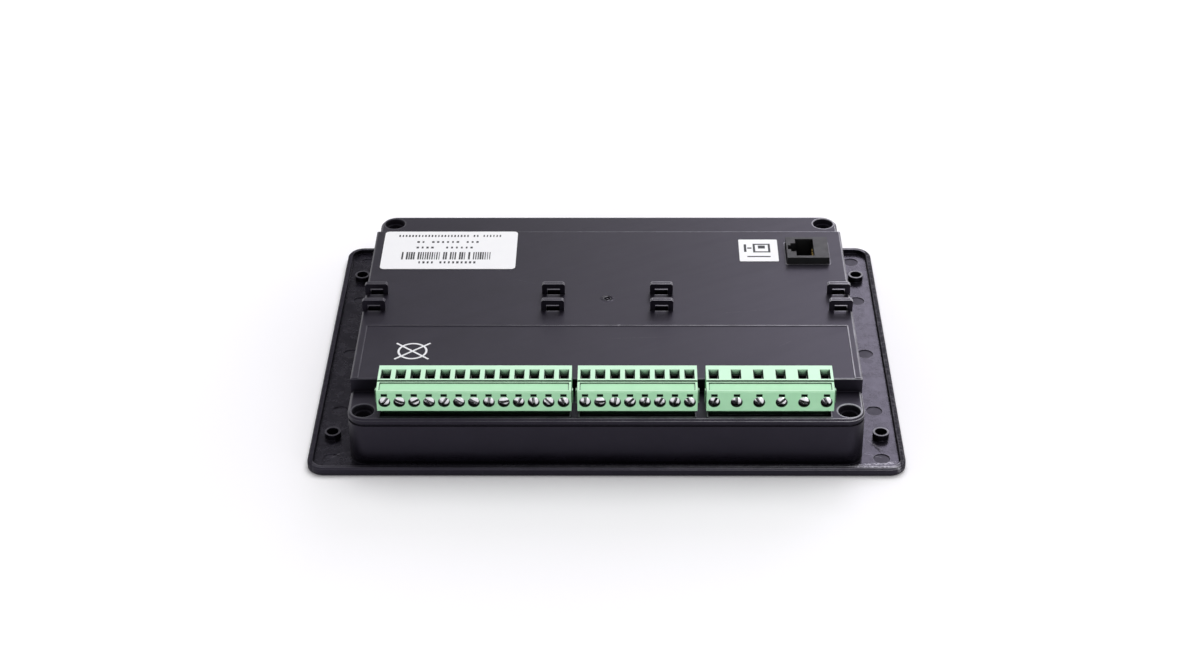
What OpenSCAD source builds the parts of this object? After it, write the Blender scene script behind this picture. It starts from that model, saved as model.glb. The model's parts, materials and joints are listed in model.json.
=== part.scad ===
// Generator-set controller lying face down: bezel case, rear cover, pull-off terminal plugs and front keys.
// Millimetres. The front face lies on Z = 0, the terminals are on the -Y side and +Z points out of the back.

/* [Bezel] */
// Width of the bezel
bezel_w = 203; // [198:1:220]
// Depth of the bezel, from the terminal side to the jack side
bezel_d = 149; // [146:1:165]
// Corner radius of the bezel
bezel_r = 6; // [3:0.5:9]
// Chamfer of the bezel's outer edges
bezel_chamfer = 0.6; // [0.2:0.1:0.8]
// Thickness of the bezel flange
flange_t = 1.6; // [1.4:0.1:2.4]
// Width of the rim round the flange
rim_w = 1.8; // [1:0.1:2.4]
// Height of the rim above the flange
rim_h = 1.7; // [0.6:0.1:3]
// Distance of the screw bosses from the bezel's side edges
boss_inset = 7; // [6:0.5:8]
// Distance between the two screw bosses of one side
boss_pitch = 106; // [80:1:116]
// Outer diameter of a screw boss
boss_d = 5.6; // [4.6:0.1:6.4]
// Hole of a screw boss
boss_hole_d = 4.2; // [2:0.1:4.4]
// Height of a screw boss above the flange
boss_h = 2.2; // [1:0.1:4]
// Diameter of the ejector marks on the flange
ejector_d = 5.5; // [3:0.5:6]
// Depth of the ejector marks
ejector_depth = 0.25; // [0.05:0.05:0.3]
// Distance of the inner ejector marks from the middle one
ejector_inner = 37; // [30:1:44]
// Distance of the outer ejector marks from the middle one
ejector_outer = 66; // [62:0.5:68]

/* [Case] */
// Width of the case behind the bezel
case_w = 174.4; // [173:0.2:178]
// Depth of the case behind the bezel
case_d = 139; // [138:0.5:141]
// Corner radius of the case
case_r = 6; // [5:0.5:8]
// Wall thickness of the case
case_wall = 2; // [1.6:0.1:2.2]
// Height of the seam between case and rear cover
seam_z = 17.5; // [16.5:0.1:18.5]
// Depth of the recess that takes the fascia overlay
recess_depth = 1; // [0.8:0.1:1.2]
// Thickness of the front panel behind the recess
panel_t = 2.4; // [2:0.1:3]
// Depth and height of the groove along the seam
seam_groove = 0.5; // [0.2:0.1:0.8]

/* [Rear cover] */
// Wall thickness of the cover
cover_wall = 2.2; // [1.8:0.1:2.4]
// Height of the shelves above the seam
shelf_h = 2.4; // [2.4:0.1:3]
// Height of the plateau above the shelves
plateau_h = 5.3; // [4.5:0.1:6.5]
// Depth of the shelf in front of the plateau
front_shelf_d = 17.2; // [17:0.1:18]
// Depth of the shelf behind the plateau
back_shelf_d = 20.5; // [19:0.5:22]
// Chamfer of the plateau's edges
plateau_chamfer = 0.5; // [0.2:0.1:0.8]
// Chamfer of the shelves' outer edges
shelf_chamfer = 0.8; // [0.3:0.1:1]
// Length of the tongue that enters the case
tongue_h = 2; // [1.2:0.1:2.6]
// Thickness of the tongue
tongue_t = 1.2; // [0.8:0.1:1.6]
// Distance of the cover screws from the case's sides
screw_inset_x = 5.2; // [5:0.1:5.6]
// Distance of the cover screws from the case's terminal and jack sides
screw_inset_y = 5.5; // [5:0.1:6]
// Mouth diameter of a screw well
well_d = 7.1; // [6.4:0.1:7.4]
// Diameter of the bore that the screw head goes down
head_bore_d = 5.4; // [5.3:0.1:5.6]
// Height of the case posts that the cover screws down on
post_top_z = 9.6; // [8:0.2:10.5]
// Depth of the legend recess in the plateau
legend_depth = 0.2; // [0.2:0.05:0.8]
// Length of the legend recess, from the plateau's front edge
legend_len = 33.9; // [20:0.1:38]
// Distance of the legend recess from the plateau's side edges
legend_margin = 2.7; // [1.5:0.1:4]
// Width of a cable-tie loop
loop_w = 8.2; // [7:0.1:9]
// Height of a cable-tie loop
loop_h = 4.3; // [3.6:0.1:5]
// Thickness of a cable-tie loop
loop_t = 1.8; // [1.4:0.1:2.2]
// Width of the opening in a cable-tie loop
loop_open_w = 4.6; // [3.5:0.1:5]
// Height of the opening in a cable-tie loop
loop_open_h = 2.5; // [1.8:0.1:2.8]
// Depth of the window in the plateau under a cable-tie loop
loop_window_d = 3.3; // [2.4:0.1:4]
// Corner chamfer of a cable-tie loop
loop_chamfer = 0.6; // [0.2:0.1:0.9]
// Distance between the two loops of a pair
loop_pitch = 11.2; // [9:0.1:13]
// Distance of the inner loop pairs from the middle
loop_inner_x = 19.4; // [15:0.1:30]

/* [Terminal plugs] */
// Pitch of the signal terminals
signal_pitch = 5; // [4.9:0.02:5.08]
// Pitch of the power terminals
power_pitch = 7.5; // [7.4:0.02:7.62]
// Middle of the thirteen-way plug
plug_13way_x = -44.1; // [-44.5:0.1:-43.8]
// Middle of the eight-way plug
plug_8way_x = 10.6; // [10.2:0.1:11]
// Middle of the six-way plug
plug_6way_x = 55; // [54.6:0.1:55.4]
// Length of a plug beyond its two outer terminals together
plug_end = 5.2; // [5:0.1:5.6]
// Depth of a plug, from the plateau side to the screw face
plug_d = 15; // [14.6:0.1:15]
// Height of a plug at its wire entries
plug_h = 9; // [8.6:0.1:9.6]
// Depth of the band that holds the wire entries
entry_band_d = 9.4; // [9:0.1:9.8]
// Step from the entry band down to the marker band
band_step = 0.4; // [0.2:0.1:0.6]
// Fall of the marker band towards the screw face
band_fall = 0.5; // [0.2:0.1:0.8]
// Chamfer of a plug's long edges
plug_chamfer = 0.4; // [0.2:0.1:0.5]
// Gap between a plug and the plateau's front wall
plug_gap = 0.5; // [0.3:0.1:0.8]
// Depth of a plug's nose
nose_d = 6.4; // [6:0.1:6.8]
// Distance of the nose from the back of its plug
nose_inset = 2.1; // [1.9:0.1:2.4]
// Diameter of the hole over a clamp screw
screw_hole_d = 4; // [3.8:0.1:4.2]
// Height of the clamp screws above a plug's underside
screw_rise = 3.8; // [3.6:0.1:4]
// Height of a header above the board
header_h = 12; // [11.4:0.1:12.4]
// Thickness of a header's long walls
header_wall = 1.1; // [0.8:0.1:1.2]
// Side of a square header pin
pin_w = 1; // [0.8:0.05:1]

/* [Data jack] */
// Width of the jack body
jack_w = 15.4; // [15:0.1:16]
// Depth of the jack body
jack_d = 15.2; // [14.8:0.1:16]
// Height of the jack above the plateau
jack_rise = 2.6; // [1.5:0.1:4]
// Distance of the jack's middle from the case's right side
jack_inset_x = 13.5; // [13.2:0.1:14.2]
// Distance of the jack's middle from the case's jack side
jack_inset_y = 37.3; // [35.5:0.1:39.5]
// Width of the plug opening
socket_w = 6.6; // [6.4:0.1:6.8]
// Length of the plug opening
socket_len = 12.2; // [11.8:0.1:12.4]
// Depth of the plug opening
socket_depth = 13; // [12:0.1:14]

/* [Labels] */
// Width of the rating label
rating_w = 49.8; // [40:0.1:52]
// Depth of the rating label
rating_d = 27.6; // [20:0.1:29]
// Distance of the rating label from the plateau's side and back edges
rating_inset = 0.7; // [0.4:0.1:3]
// Width of the port label
port_w = 14.4; // [10:0.1:15]
// Depth of the port label
port_d = 16; // [12:0.1:18]
// Gap between the port label and the jack
port_gap = 3; // [1:0.1:5]
// Thickness of the labels
label_t = 0.15; // [0.1:0.05:0.3]

/* [Front] */
// Thickness of the fascia overlay
overlay_t = 0.5; // [0.3:0.1:0.6]
// Margin between the fascia recess and the case's outer walls
fascia_margin = 3.5; // [3:0.1:6]
// Visible width of the display
view_w = 66; // [60:1:68]
// Visible depth of the display
view_d = 34; // [30:1:36]
// Distance of the display's middle from the case's jack side
view_inset = 51.5; // [47.5:0.5:53.5]
// Thickness of the display window
window_t = 1; // [0.8:0.1:1.4]
// Width of a key cap
key_w = 15; // [12:0.5:17]
// Depth of a key cap
key_d = 11; // [9:0.5:12]
// Distance between key caps, centre to centre
key_pitch = 28; // [22:0.5:30]
// Distance of the key row from the case's terminal side
key_inset = 26.5; // [25.5:0.5:29.5]
// Travel of a key
key_travel = 0.5; // [0.3:0.1:0.6]
// Gap round a key cap
key_gap = 0.3; // [0.2:0.05:0.5]

/* [Board] */
// Thickness of the main board
board_t = 1.6; // [1.2:0.1:1.8]
// Space between the front panel and the main board
board_rise = 5; // [4.8:0.1:5.4]
// Gap between the main board and the case walls
board_gap = 1.2; // [0.8:0.1:1.6]

/* [Hidden] */
$fn = 64;

black = "#2a282d";
green = "#86cf8c";
steel = "#d5d7da";
gold = "#c9a85a";
tin = "#c4c6c8";

fit_gap = 0.2;
slide_gap = 0.3;
cut = 1;

shelf_z = seam_z + shelf_h;
plateau_z = shelf_z + plateau_h;
step_y = -case_d / 2 + front_shelf_d;
back_step_y = case_d / 2 - back_shelf_d;
panel_rear_z = recess_depth + panel_t;
board_bottom_z = panel_rear_z + board_rise;
board_top_z = board_bottom_z + board_t;
tongue_inset = case_wall + fit_gap;
skirt_t = tongue_inset + tongue_t;

screw_x = case_w / 2 - screw_inset_x;
screw_y = case_d / 2 - screw_inset_y;
tube_wall = 1;
tube_r = head_bore_d / 2 + tube_wall;
tube_floor_t = 2;
relief_r = tube_r + slide_gap;
well_rim = 0.45;
cover_shank_d = 2.9;
cover_head_d = 5;
cover_head_h = 2;
cover_screw_bite = 5.2;
cover_slot_len = 3;
thread_gap = 0.1;

boss_x = bezel_w / 2 - boss_inset;
ejector_shift = 0.8;
ejector_x = boss_x - ejector_shift;
boss_floor = 0.8;

gate_d = 2.2;
gate_depth = 0.45;
gate_stub_d = 0.9;
gate_stub_h = 0.36;
loop_row_y = -2.8;
loop_root = 0.4;

long_ways = 13;
short_ways = 8;
power_ways = 6;
header_top_z = board_top_z + header_h;
header_floor = 2.6;
plug_back_y = step_y - plug_gap;
plug_front_y = plug_back_y - plug_d;
plug_top_z = header_top_z + plug_h;
entry_edge_y = plug_back_y - entry_band_d;
nose_back_y = plug_back_y - nose_inset;
nose_front_y = nose_back_y - nose_d;
nose_mid_y = (nose_back_y + nose_front_y) / 2;
nose_end = 2.8;
nose_bottom_z = board_top_z + header_floor + slide_gap;
pocket_gap = 0.5;
pocket_lip = 1.8;
pocket_front_y = -case_d / 2 + pocket_lip;
pocket_depth = 2.1;
pocket_floor_z = shelf_z - pocket_depth;
pocket_floor_t = 1.8;

entry_w = 3.4;
entry_d = 5.8;
wire_w = 2.9;
wire_d = 3.8;
entry_depth = 1.4;
entry_inset = 5.7;
entry_mid_y = plug_back_y - entry_inset;
cage_w = 3.4;
cage_wall = 0.5;
cage_inset = 2;
cage_lead = 0.6;
cage_rise = 1.4;
cage_back_y = plug_back_y - cage_inset;
cage_front_y = entry_edge_y - cage_lead;
cage_bottom_z = header_top_z + cage_rise;
cage_h = 5.8;
cage_gap = 0.1;
clamp_screw_z = header_top_z + screw_rise;
clamp_head_gap = 0.1;
clamp_head_d = screw_hole_d - 2 * clamp_head_gap;
clamp_head_h = 1.7;
clamp_dome_r = 4.6;
clamp_head_sink = 0.2;
clamp_shank_d = 2.8;
clamp_slot_depth = 1;
slot_w = 0.7;
slot_depth = 0.7;
slot_start = 20;
slot_turn = 47;
notch_w = 2.1;
notch_h = 1.05;
notch_depth = 2.6;
notch_rise = 2.7;
marker_sink = 0.35;
marker_margin = 0.8;
band_groove_w = 0.35;
band_groove_depth = 0.5;
band_slope = band_fall / (plug_d - entry_band_d);
rib_out = 0.5;
rib_w = 1.4;
rib_h = 6;
contact_w = 2;
contact_d = 2.6;
contact_wall = 0.35;
contact_neck = 1.4;
contact_tail = 0.5;
pin_tail = 1.4;
pin_short = 2;
pin_gap = 0.05;

jack_x = case_w / 2 - jack_inset_x;
jack_y = case_d / 2 - jack_inset_y;
jack_low_x = jack_x - jack_w / 2;
jack_top_z = plateau_z + jack_rise;
latch_w = 3.4;
latch_step_1 = 1.6;
latch_step_2 = 0.5;
latch_d_1 = 6;
latch_d_2 = 3;
socket_x = jack_low_x + latch_w;
spring_wire = 0.45;
spring_pitch = 1.02;
spring_count = 8;
spring_top = 3;
spring_root = 4.4;
spring_tip = 9.4;
spring_reach = 1.9;

rating_x = -case_w / 2 + legend_margin + rating_inset + rating_w / 2;
rating_y = back_step_y - rating_inset - rating_d / 2;
port_x = jack_x - jack_w / 2 - port_gap - port_w / 2;
port_shift = 2;
port_y = jack_y + port_shift;
rating_r = 1.6;
port_r = 0.5;

view_y = case_d / 2 - view_inset;
key_y = -case_d / 2 + key_inset;
lcd_wall = 0.5;
lcd_border = 6;
lcd_w = view_w + 2 * lcd_border;
lcd_d = view_d + 2 * lcd_border;
glass_t = 1.6;
window_lap = 4;
window_ledge = 2;
key_proud = 0.3;
key_flange = 1.5;
key_flange_t = 0.6;
key_r = 2;
key_names = ["scroll", "stop", "manual", "auto", "start"];
plunger_d = 3.4;
plunger_in = 1.3;
switch_w = 6;
switch_h = 3.5;
switch_d = 6;
led_gap = 27;
led_x = -view_w / 2 - led_gap;
led_pitch = 10;
led_count = 4;
led_d = 3;
led_sink = 0.4;
led_body_h = 3;
led_collar = 0.4;
led_collar_h = 1;
led_leg_w = 0.5;
led_leg_pitch = 2.54;

support_inset_x = 9.2;
support_inset_back = 19.5;
support_inset_front = 25.5;
support_lcd_back = 8;
support_lcd_front = 12;
support_x = case_w / 2 - support_inset_x;
support_back_y = case_d / 2 - support_inset_back;
support_front_y = -case_d / 2 + support_inset_front;
support_mid_back_y = view_y + lcd_d / 2 + support_lcd_back;
support_mid_front_y = view_y - lcd_d / 2 - support_lcd_front;
supports = [[-support_x, support_back_y], [support_x, support_back_y], [-support_x, support_front_y],
  [support_x, support_front_y], [0, support_mid_back_y], [0, support_mid_front_y]];
support_d = 6;
board_screw_d = 2.4;
board_head_d = 4.6;
board_head_h = 1.6;
board_screw_bite = 3.6;
board_screw_tip = 0.4;
board_slot_len = 2.6;

part_row_y = -36;
relay_x = -62;
relay_pitch = 13;
relay_w = 10.2;
relay_d = 15;
relay_h = 12;
relay_edge = 0.6;
capacitor_x = 40;
capacitor_pitch = 13;
capacitor_r = 4.8;
capacitor_h = 12;
crimp_z = 1.2;
crimp_h = 0.6;
crimp_in = 0.4;
choke_x = 24;
choke_r = 5;
choke_h = 9;
choke_flange = 1.4;
choke_neck = 0.8;
chip_y = 6;
chip_side = 10;
chip_h = 1.4;
chip_rise = 0.1;
chip_legs = 12;
chip_leg_pitch = 0.76;
chip_leg_w = 0.3;
chip_leg_len = 1;
chip_leg_h = 0.6;

function way_x(middle, ways, pitch, i) = middle + (i - (ways - 1) / 2) * pitch;
function plug_len(ways, pitch) = (ways - 1) * pitch + plug_end;
function nose_len(ways, pitch) = (ways - 1) * pitch + nose_end;
function band_z(y) = plug_top_z - band_step - band_slope * (entry_edge_y - y);
function key_x(i) = (i - (len(key_names) - 1) / 2) * key_pitch;

// Rectangle with round corners, as squares and circles so that its corners stay true arcs
module rounded(w, d, r) {
  square([w - 2 * r, d], center = true);
  square([w, d - 2 * r], center = true);
  for (sx = [-1, 1], sy = [-1, 1])
    translate([sx * (w / 2 - r), sy * (d / 2 - r)])
      circle(r);
}

// Case outline moved in by a distance
module case_outline(inset) {
  rounded(case_w - 2 * inset, case_d - 2 * inset, case_r - inset);
}

module case_ring(outer, inner) {
  difference() {
    case_outline(outer);
    case_outline(inner);
  }
}

// Box given by its lowest and highest corners
module span(low, high) {
  translate(low)
    cube(high - low);
}

// Strip of three sides that breaks the upper edge of a rounded rectangle whose top lies on Z = 0
module edge_strip(w, d, r, c) {
  module section() {
    polygon([[-c - cut, cut], [cut, cut], [cut, -c - cut]]);
  }
  for (turn = [0, 180]) {
    rotate([0, 0, turn])
      translate([0, d / 2, 0])
        along_x(w - 2 * r)
          section();
    rotate([0, 0, turn + 90])
      translate([0, w / 2, 0])
        along_x(d - 2 * r)
          section();
  }
  for (sx = [-1, 1], sy = [-1, 1])
    translate([sx * (w / 2 - r), sy * (d / 2 - r), 0])
      rotate([0, 0, sy > 0 ? 45 - 45 * sx : 225 + 45 * sx])
        rotate_extrude(angle = 90)
          translate([r, 0])
            section();
}

module at_corners(x, y) {
  for (sx = [-1, 1], sy = [-1, 1])
    translate([sx * x, sy * y, 0])
      children();
}

module at_supports() {
  for (p = supports)
    translate([p[0], p[1], 0])
      children();
}

// Profile in the YZ plane drawn along X
module along_x(length) {
  rotate([90, 0, 90])
    linear_extrude(length, center = true)
      children();
}

// Cylinder from a point on the screw face, running towards +Y
module along_y(y, z, d, length) {
  translate([0, y, z])
    rotate([-90, 0, 0])
      cylinder(d = d, h = length);
}

module front_case() {
  color(black)
    difference() {
      union() {
        linear_extrude(flange_t)
          rounded(bezel_w, bezel_d, bezel_r);
        linear_extrude(flange_t + rim_h)
          difference() {
            rounded(bezel_w, bezel_d, bezel_r);
            rounded(bezel_w - 2 * rim_w, bezel_d - 2 * rim_w, bezel_r - rim_w);
          }
        linear_extrude(panel_rear_z)
          case_outline(0);
        linear_extrude(seam_z - seam_groove)
          case_ring(0, case_wall);
        linear_extrude(seam_z)
          case_ring(seam_groove, case_wall);
        at_corners(boss_x, boss_pitch / 2)
          cylinder(d = boss_d, h = flange_t + boss_h);
        at_corners(screw_x, screw_y)
          cylinder(r = tube_r, h = post_top_z);
        at_supports()
          cylinder(d = support_d, h = board_bottom_z);
      }
      front_openings();
      translate([0, 0, flange_t + rim_h])
        edge_strip(bezel_w, bezel_d, bezel_r, bezel_chamfer);
      mirror([0, 0, 1])
        edge_strip(bezel_w, bezel_d, bezel_r, bezel_chamfer);
      at_corners(boss_x, boss_pitch / 2)
        translate([0, 0, boss_floor])
          cylinder(d = boss_hole_d, h = flange_t + boss_h);
      at_corners(screw_x, screw_y) {
        translate([0, 0, post_top_z])
          cylinder(r = relief_r, h = seam_z);
        translate([0, 0, post_top_z - cover_screw_bite - cut])
          cylinder(d = cover_shank_d, h = seam_z);
      }
      at_supports()
        translate([0, 0, board_bottom_z - board_screw_bite])
          cylinder(d = board_screw_d, h = board_screw_bite + cut);
      for (y = [0, ejector_inner, ejector_outer])
        at_corners(ejector_x, y)
          translate([0, 0, flange_t - ejector_depth])
            cylinder(d = ejector_d, h = ejector_depth + cut);
    }
}

// Recess for the fascia, display opening, key holes and lamp holes of the front panel
module front_openings() {
  translate([0, 0, -cut])
    linear_extrude(recess_depth + cut)
      case_outline(fascia_margin);
  translate([0, view_y, -cut])
    linear_extrude(recess_depth + window_t + cut)
      square([view_w + 2 * window_lap + 2 * fit_gap, view_d + 2 * window_lap + 2 * fit_gap], center = true);
  translate([0, view_y, -cut])
    linear_extrude(panel_rear_z + 2 * cut)
      square([view_w + 2 * window_ledge, view_d + 2 * window_ledge], center = true);
  key_holes();
  lamp_holes(led_d + 2 * slide_gap);
}

module key_holes() {
  for (i = [0:len(key_names) - 1])
    translate([key_x(i), key_y, -cut])
      linear_extrude(panel_rear_z + 2 * cut)
        rounded(key_w + 2 * key_gap, key_d + 2 * key_gap, key_r + key_gap);
}

module at_lamps() {
  for (i = [0:led_count - 1])
    translate([led_x, view_y + (i - (led_count - 1) / 2) * led_pitch, 0])
      children();
}

module lamp_holes(d) {
  at_lamps()
    translate([0, 0, -cut])
      cylinder(d = d, h = panel_rear_z + 2 * cut);
}

// Block seen from its end, with its two upper edges broken
module broken_block(low, high, top) {
  polygon([[low, seam_z - cut], [low, top - plateau_chamfer], [low + plateau_chamfer, top],
    [high - plateau_chamfer, top], [high, top - plateau_chamfer], [high, seam_z - cut]]);
}

// Side view of the cover: two shelves and the plateau, moved in by a wall
module cover_profile(wall) {
  translate([-case_d, seam_z - cut])
    square([2 * case_d, shelf_h - wall + cut]);
  broken_block(step_y + wall, back_step_y - wall, plateau_z - wall);
}

// Cover block bounded by its outlines seen from above, from the side and from the front
module cover_block(inset, wall) {
  half = case_w / 2 - inset;
  intersection() {
    translate([0, 0, wall > 0 ? seam_z - cut : seam_z])
      linear_extrude(plateau_h + shelf_h + cut)
        case_outline(inset);
    along_x(case_w + 2 * cut)
      cover_profile(wall);
    rotate([90, 0, 0])
      linear_extrude(case_d + 2 * cut, center = true)
        broken_block(-half, half, plateau_z - wall);
  }
}

module rear_cover() {
  color(black)
    difference() {
      union() {
        difference() {
          cover_block(0, 0);
          cover_block(cover_wall, cover_wall);
        }
        translate([0, 0, seam_z])
          linear_extrude(shelf_h / 2)
            case_ring(0, skirt_t);
        translate([0, 0, seam_z - tongue_h])
          linear_extrude(tongue_h + shelf_h / 2)
            case_ring(tongue_inset, skirt_t);
        at_corners(screw_x, screw_y)
          translate([0, 0, post_top_z])
            cylinder(r = tube_r, h = shelf_z - cover_wall / 2 - post_top_z);
        pocket_floor();
        tie_loops();
      }
      at_corners(screw_x, screw_y)
        screw_well();
      terminal_pockets();
      shelf_edges();
      loop_windows();
      legend_recess();
      jack_opening();
      seam_cut();
      gate_mark();
    }
}

module screw_well() {
  translate([0, 0, post_top_z - cut])
    cylinder(d = cover_shank_d + 2 * fit_gap, h = plateau_z);
  translate([0, 0, post_top_z + tube_floor_t])
    cylinder(d = head_bore_d, h = plateau_z);
  translate([0, 0, pocket_floor_z])
    cylinder(d = well_d, h = plateau_h);
  translate([0, 0, shelf_z - well_rim])
    cylinder(d1 = well_d, d2 = well_d + 2 * (well_rim + cut), h = well_rim + cut);
}

// Broken outer edges of the two shelves, up to the plateau's walls
module shelf_edges() {
  intersection() {
    translate([0, 0, shelf_z])
      edge_strip(case_w, case_d, case_r, shelf_chamfer);
    union() {
      span([-case_w, -case_d, seam_z], [case_w, step_y, plateau_z]);
      span([-case_w, back_step_y, seam_z], [case_w, case_d, plateau_z]);
    }
  }
}

// Plate under the terminal pockets that closes them round the headers
module pocket_floor() {
  reach = plug_6way_x + nose_len(power_ways, power_pitch) / 2 + pocket_gap + cover_wall;
  back = plug_13way_x - nose_len(long_ways, signal_pitch) / 2 - pocket_gap - cover_wall;
  span([back, -case_d / 2 + tongue_inset + fit_gap, pocket_floor_z - pocket_floor_t],
    [reach, step_y + cover_wall, pocket_floor_z]);
}

module pocket(middle, ways, pitch) {
  half = nose_len(ways, pitch) / 2 + pocket_gap;
  header_half = nose_len(ways, pitch) / 2 + fit_gap + slide_gap;
  header_edge = header_wall + 2 * slide_gap;
  span([middle - half, pocket_front_y, pocket_floor_z], [middle + half, step_y, shelf_z + cut]);
  span([middle - header_half, nose_front_y - header_edge, pocket_floor_z - pocket_floor_t - cut],
    [middle + header_half, nose_back_y + header_edge, pocket_floor_z + cut]);
}

module terminal_pockets() {
  pocket(plug_13way_x, long_ways, signal_pitch);
  pocket(plug_8way_x, short_ways, signal_pitch);
  pocket(plug_6way_x, power_ways, power_pitch);
}

module legend_recess() {
  half = case_w / 2 - legend_margin;
  span([-half, step_y - cut, plateau_z - legend_depth], [half, step_y + legend_len, plateau_z + cut]);
}

module jack_opening() {
  span([jack_x - jack_w / 2 - fit_gap, jack_y - jack_d / 2 - fit_gap, plateau_z - cover_wall - cut],
    [jack_x + jack_w / 2 + fit_gap, jack_y + jack_d / 2 + fit_gap, plateau_z + cut]);
}

module seam_cut() {
  translate([0, 0, seam_z - cut])
    linear_extrude(seam_groove + cut)
      difference() {
        square([case_w + 2 * cut, case_d + 2 * cut], center = true);
        case_outline(seam_groove);
      }
}

// Sprue dimple in the middle of the plateau, with its cut-off stub
module gate_mark() {
  translate([0, 0, plateau_z - gate_depth])
    difference() {
      cylinder(d = gate_d, h = gate_depth + cut);
      cylinder(d = gate_stub_d, h = gate_stub_h);
    }
}

// Bridge that a cable tie goes under, standing on the plateau
module tie_loop() {
  half = loop_w / 2;
  top = plateau_z + loop_h;
  difference() {
    translate([0, loop_t, 0])
      rotate([90, 0, 0])
        linear_extrude(loop_t)
          polygon([[-half, plateau_z - loop_root], [-half, top - loop_chamfer],
            [-half + loop_chamfer, top], [half - loop_chamfer, top],
            [half, top - loop_chamfer], [half, plateau_z - loop_root]]);
    span([-loop_open_w / 2, -cut, plateau_z], [loop_open_w / 2, loop_t + cut, plateau_z + loop_open_h]);
  }
}

module at_loops() {
  outer_x = case_w / 2 - loop_w / 2;
  for (x = [-outer_x, -loop_inner_x, loop_inner_x, outer_x], row = [-1, 1])
    translate([x, loop_row_y + row * loop_pitch / 2, 0])
      children();
}

module tie_loops() {
  at_loops()
    tie_loop();
}

// Windows that the mould leaves in the plateau under the bridges
module loop_windows() {
  at_loops()
    span([-loop_open_w / 2, 0, plateau_z - cover_wall - cut],
      [loop_open_w / 2, loop_window_d, plateau_z + loop_open_h / 2]);
}

module cover_screws() {
  color("#3a3a3e")
    at_corners(screw_x, screw_y)
      difference() {
        union() {
          translate([0, 0, post_top_z - cover_screw_bite])
            cylinder(d = cover_shank_d - thread_gap, h = cover_screw_bite + tube_floor_t);
          translate([0, 0, post_top_z + tube_floor_t])
            cylinder(d = cover_head_d, h = cover_head_h);
        }
        for (turn = [0, 90])
          translate([0, 0, post_top_z + tube_floor_t + cover_head_h])
            rotate([0, 0, turn])
              cube([cover_slot_len, slot_w, 2 * slot_depth], center = true);
      }
}

module label_plate(x, y, w, d, r) {
  color("#f4f4f4")
    translate([x, y, plateau_z])
      linear_extrude(label_t)
        rounded(w, d, r);
}

module rating_label() {
  label_plate(rating_x, rating_y, rating_w, rating_d, rating_r);
}

module port_label() {
  label_plate(port_x, port_y, port_w, port_d, port_r);
}

// Side view of a plug's clamp part: screw face, sloping marker band, groove and entry band
module plug_profile() {
  c = plug_chamfer;
  groove_y = entry_edge_y - band_groove_w;
  groove_z = plug_top_z - band_step - band_groove_depth;
  polygon([[plug_back_y, header_top_z], [plug_front_y + c, header_top_z], [plug_front_y, header_top_z + c],
    [plug_front_y, band_z(plug_front_y) - c], [plug_front_y + c, band_z(plug_front_y + c)],
    [groove_y, band_z(groove_y)], [groove_y, groove_z], [entry_edge_y, groove_z],
    [entry_edge_y, plug_top_z], [plug_back_y - c, plug_top_z], [plug_back_y, plug_top_z - c]]);
}

module marker_profile() {
  front = plug_front_y + marker_margin;
  back = entry_edge_y - marker_margin;
  polygon([[back, band_z(back) - marker_sink], [front, band_z(front) - marker_sink],
    [front, band_z(front) + cut], [back, band_z(back) + cut]]);
}

// Square wire funnel that narrows from the entry band to the wire way
module wire_funnel() {
  top = plug_top_z + cut;
  grow = cut / entry_depth;
  half_w = entry_w / 2 + grow * (entry_w - wire_w) / 2;
  half_d = entry_d / 2 + grow * (entry_d - wire_d) / 2;
  intersection() {
    translate([0, entry_mid_y + entry_d, 0])
      rotate([90, 0, 0])
        linear_extrude(2 * entry_d)
          polygon([[-half_w, top], [half_w, top], [wire_w / 2, plug_top_z - entry_depth],
            [-wire_w / 2, plug_top_z - entry_depth]]);
    along_x(2 * entry_w)
      polygon([[entry_mid_y - half_d, top], [entry_mid_y + half_d, top],
        [entry_mid_y + wire_d / 2, plug_top_z - entry_depth],
        [entry_mid_y - wire_d / 2, plug_top_z - entry_depth]]);
  }
}

// Everything cut away at one terminal of a plug
module terminal_cuts() {
  wire_funnel();
  span([-wire_w / 2, entry_mid_y - wire_d / 2, cage_bottom_z + cage_h / 2],
    [wire_w / 2, entry_mid_y + wire_d / 2, plug_top_z - entry_depth / 2]);
  span([-cage_w / 2 - cage_gap, cage_front_y - cage_gap, cage_bottom_z],
    [cage_w / 2 + cage_gap, cage_back_y + cage_gap, cage_bottom_z + cage_h + cage_gap]);
  along_y(plug_front_y - cut, clamp_screw_z, screw_hole_d, cut + cage_front_y - plug_front_y);
  span([-notch_w / 2, plug_front_y - cut, clamp_screw_z + notch_rise - notch_h / 2],
    [notch_w / 2, plug_front_y + notch_depth, clamp_screw_z + notch_rise + notch_h / 2]);
  span([-contact_w / 2 - cage_gap, nose_mid_y - contact_d / 2 - cage_gap, nose_bottom_z - cut],
    [contact_w / 2 + cage_gap, nose_mid_y + contact_d / 2 + cage_gap, cage_bottom_z + cut]);
}

module plug(middle, ways, pitch) {
  length = plug_len(ways, pitch);
  color(green)
    difference() {
      translate([middle, 0, 0])
        union() {
          along_x(length)
            plug_profile();
          translate([-nose_len(ways, pitch) / 2, nose_front_y, nose_bottom_z])
            cube([nose_len(ways, pitch), nose_d, header_top_z + cut - nose_bottom_z]);
          span([-length / 2 - rib_out, plug_front_y + rib_w, plug_top_z - rib_h - band_step],
            [length / 2 + rib_out, plug_front_y + 2 * rib_w, plug_top_z - 2 * band_step - band_fall]);
        }
      translate([middle, 0, 0])
        along_x(length - 2 * marker_margin)
          marker_profile();
      for (i = [0:ways - 1])
        translate([way_x(middle, ways, pitch, i), 0, 0])
          terminal_cuts();
    }
}

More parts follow.
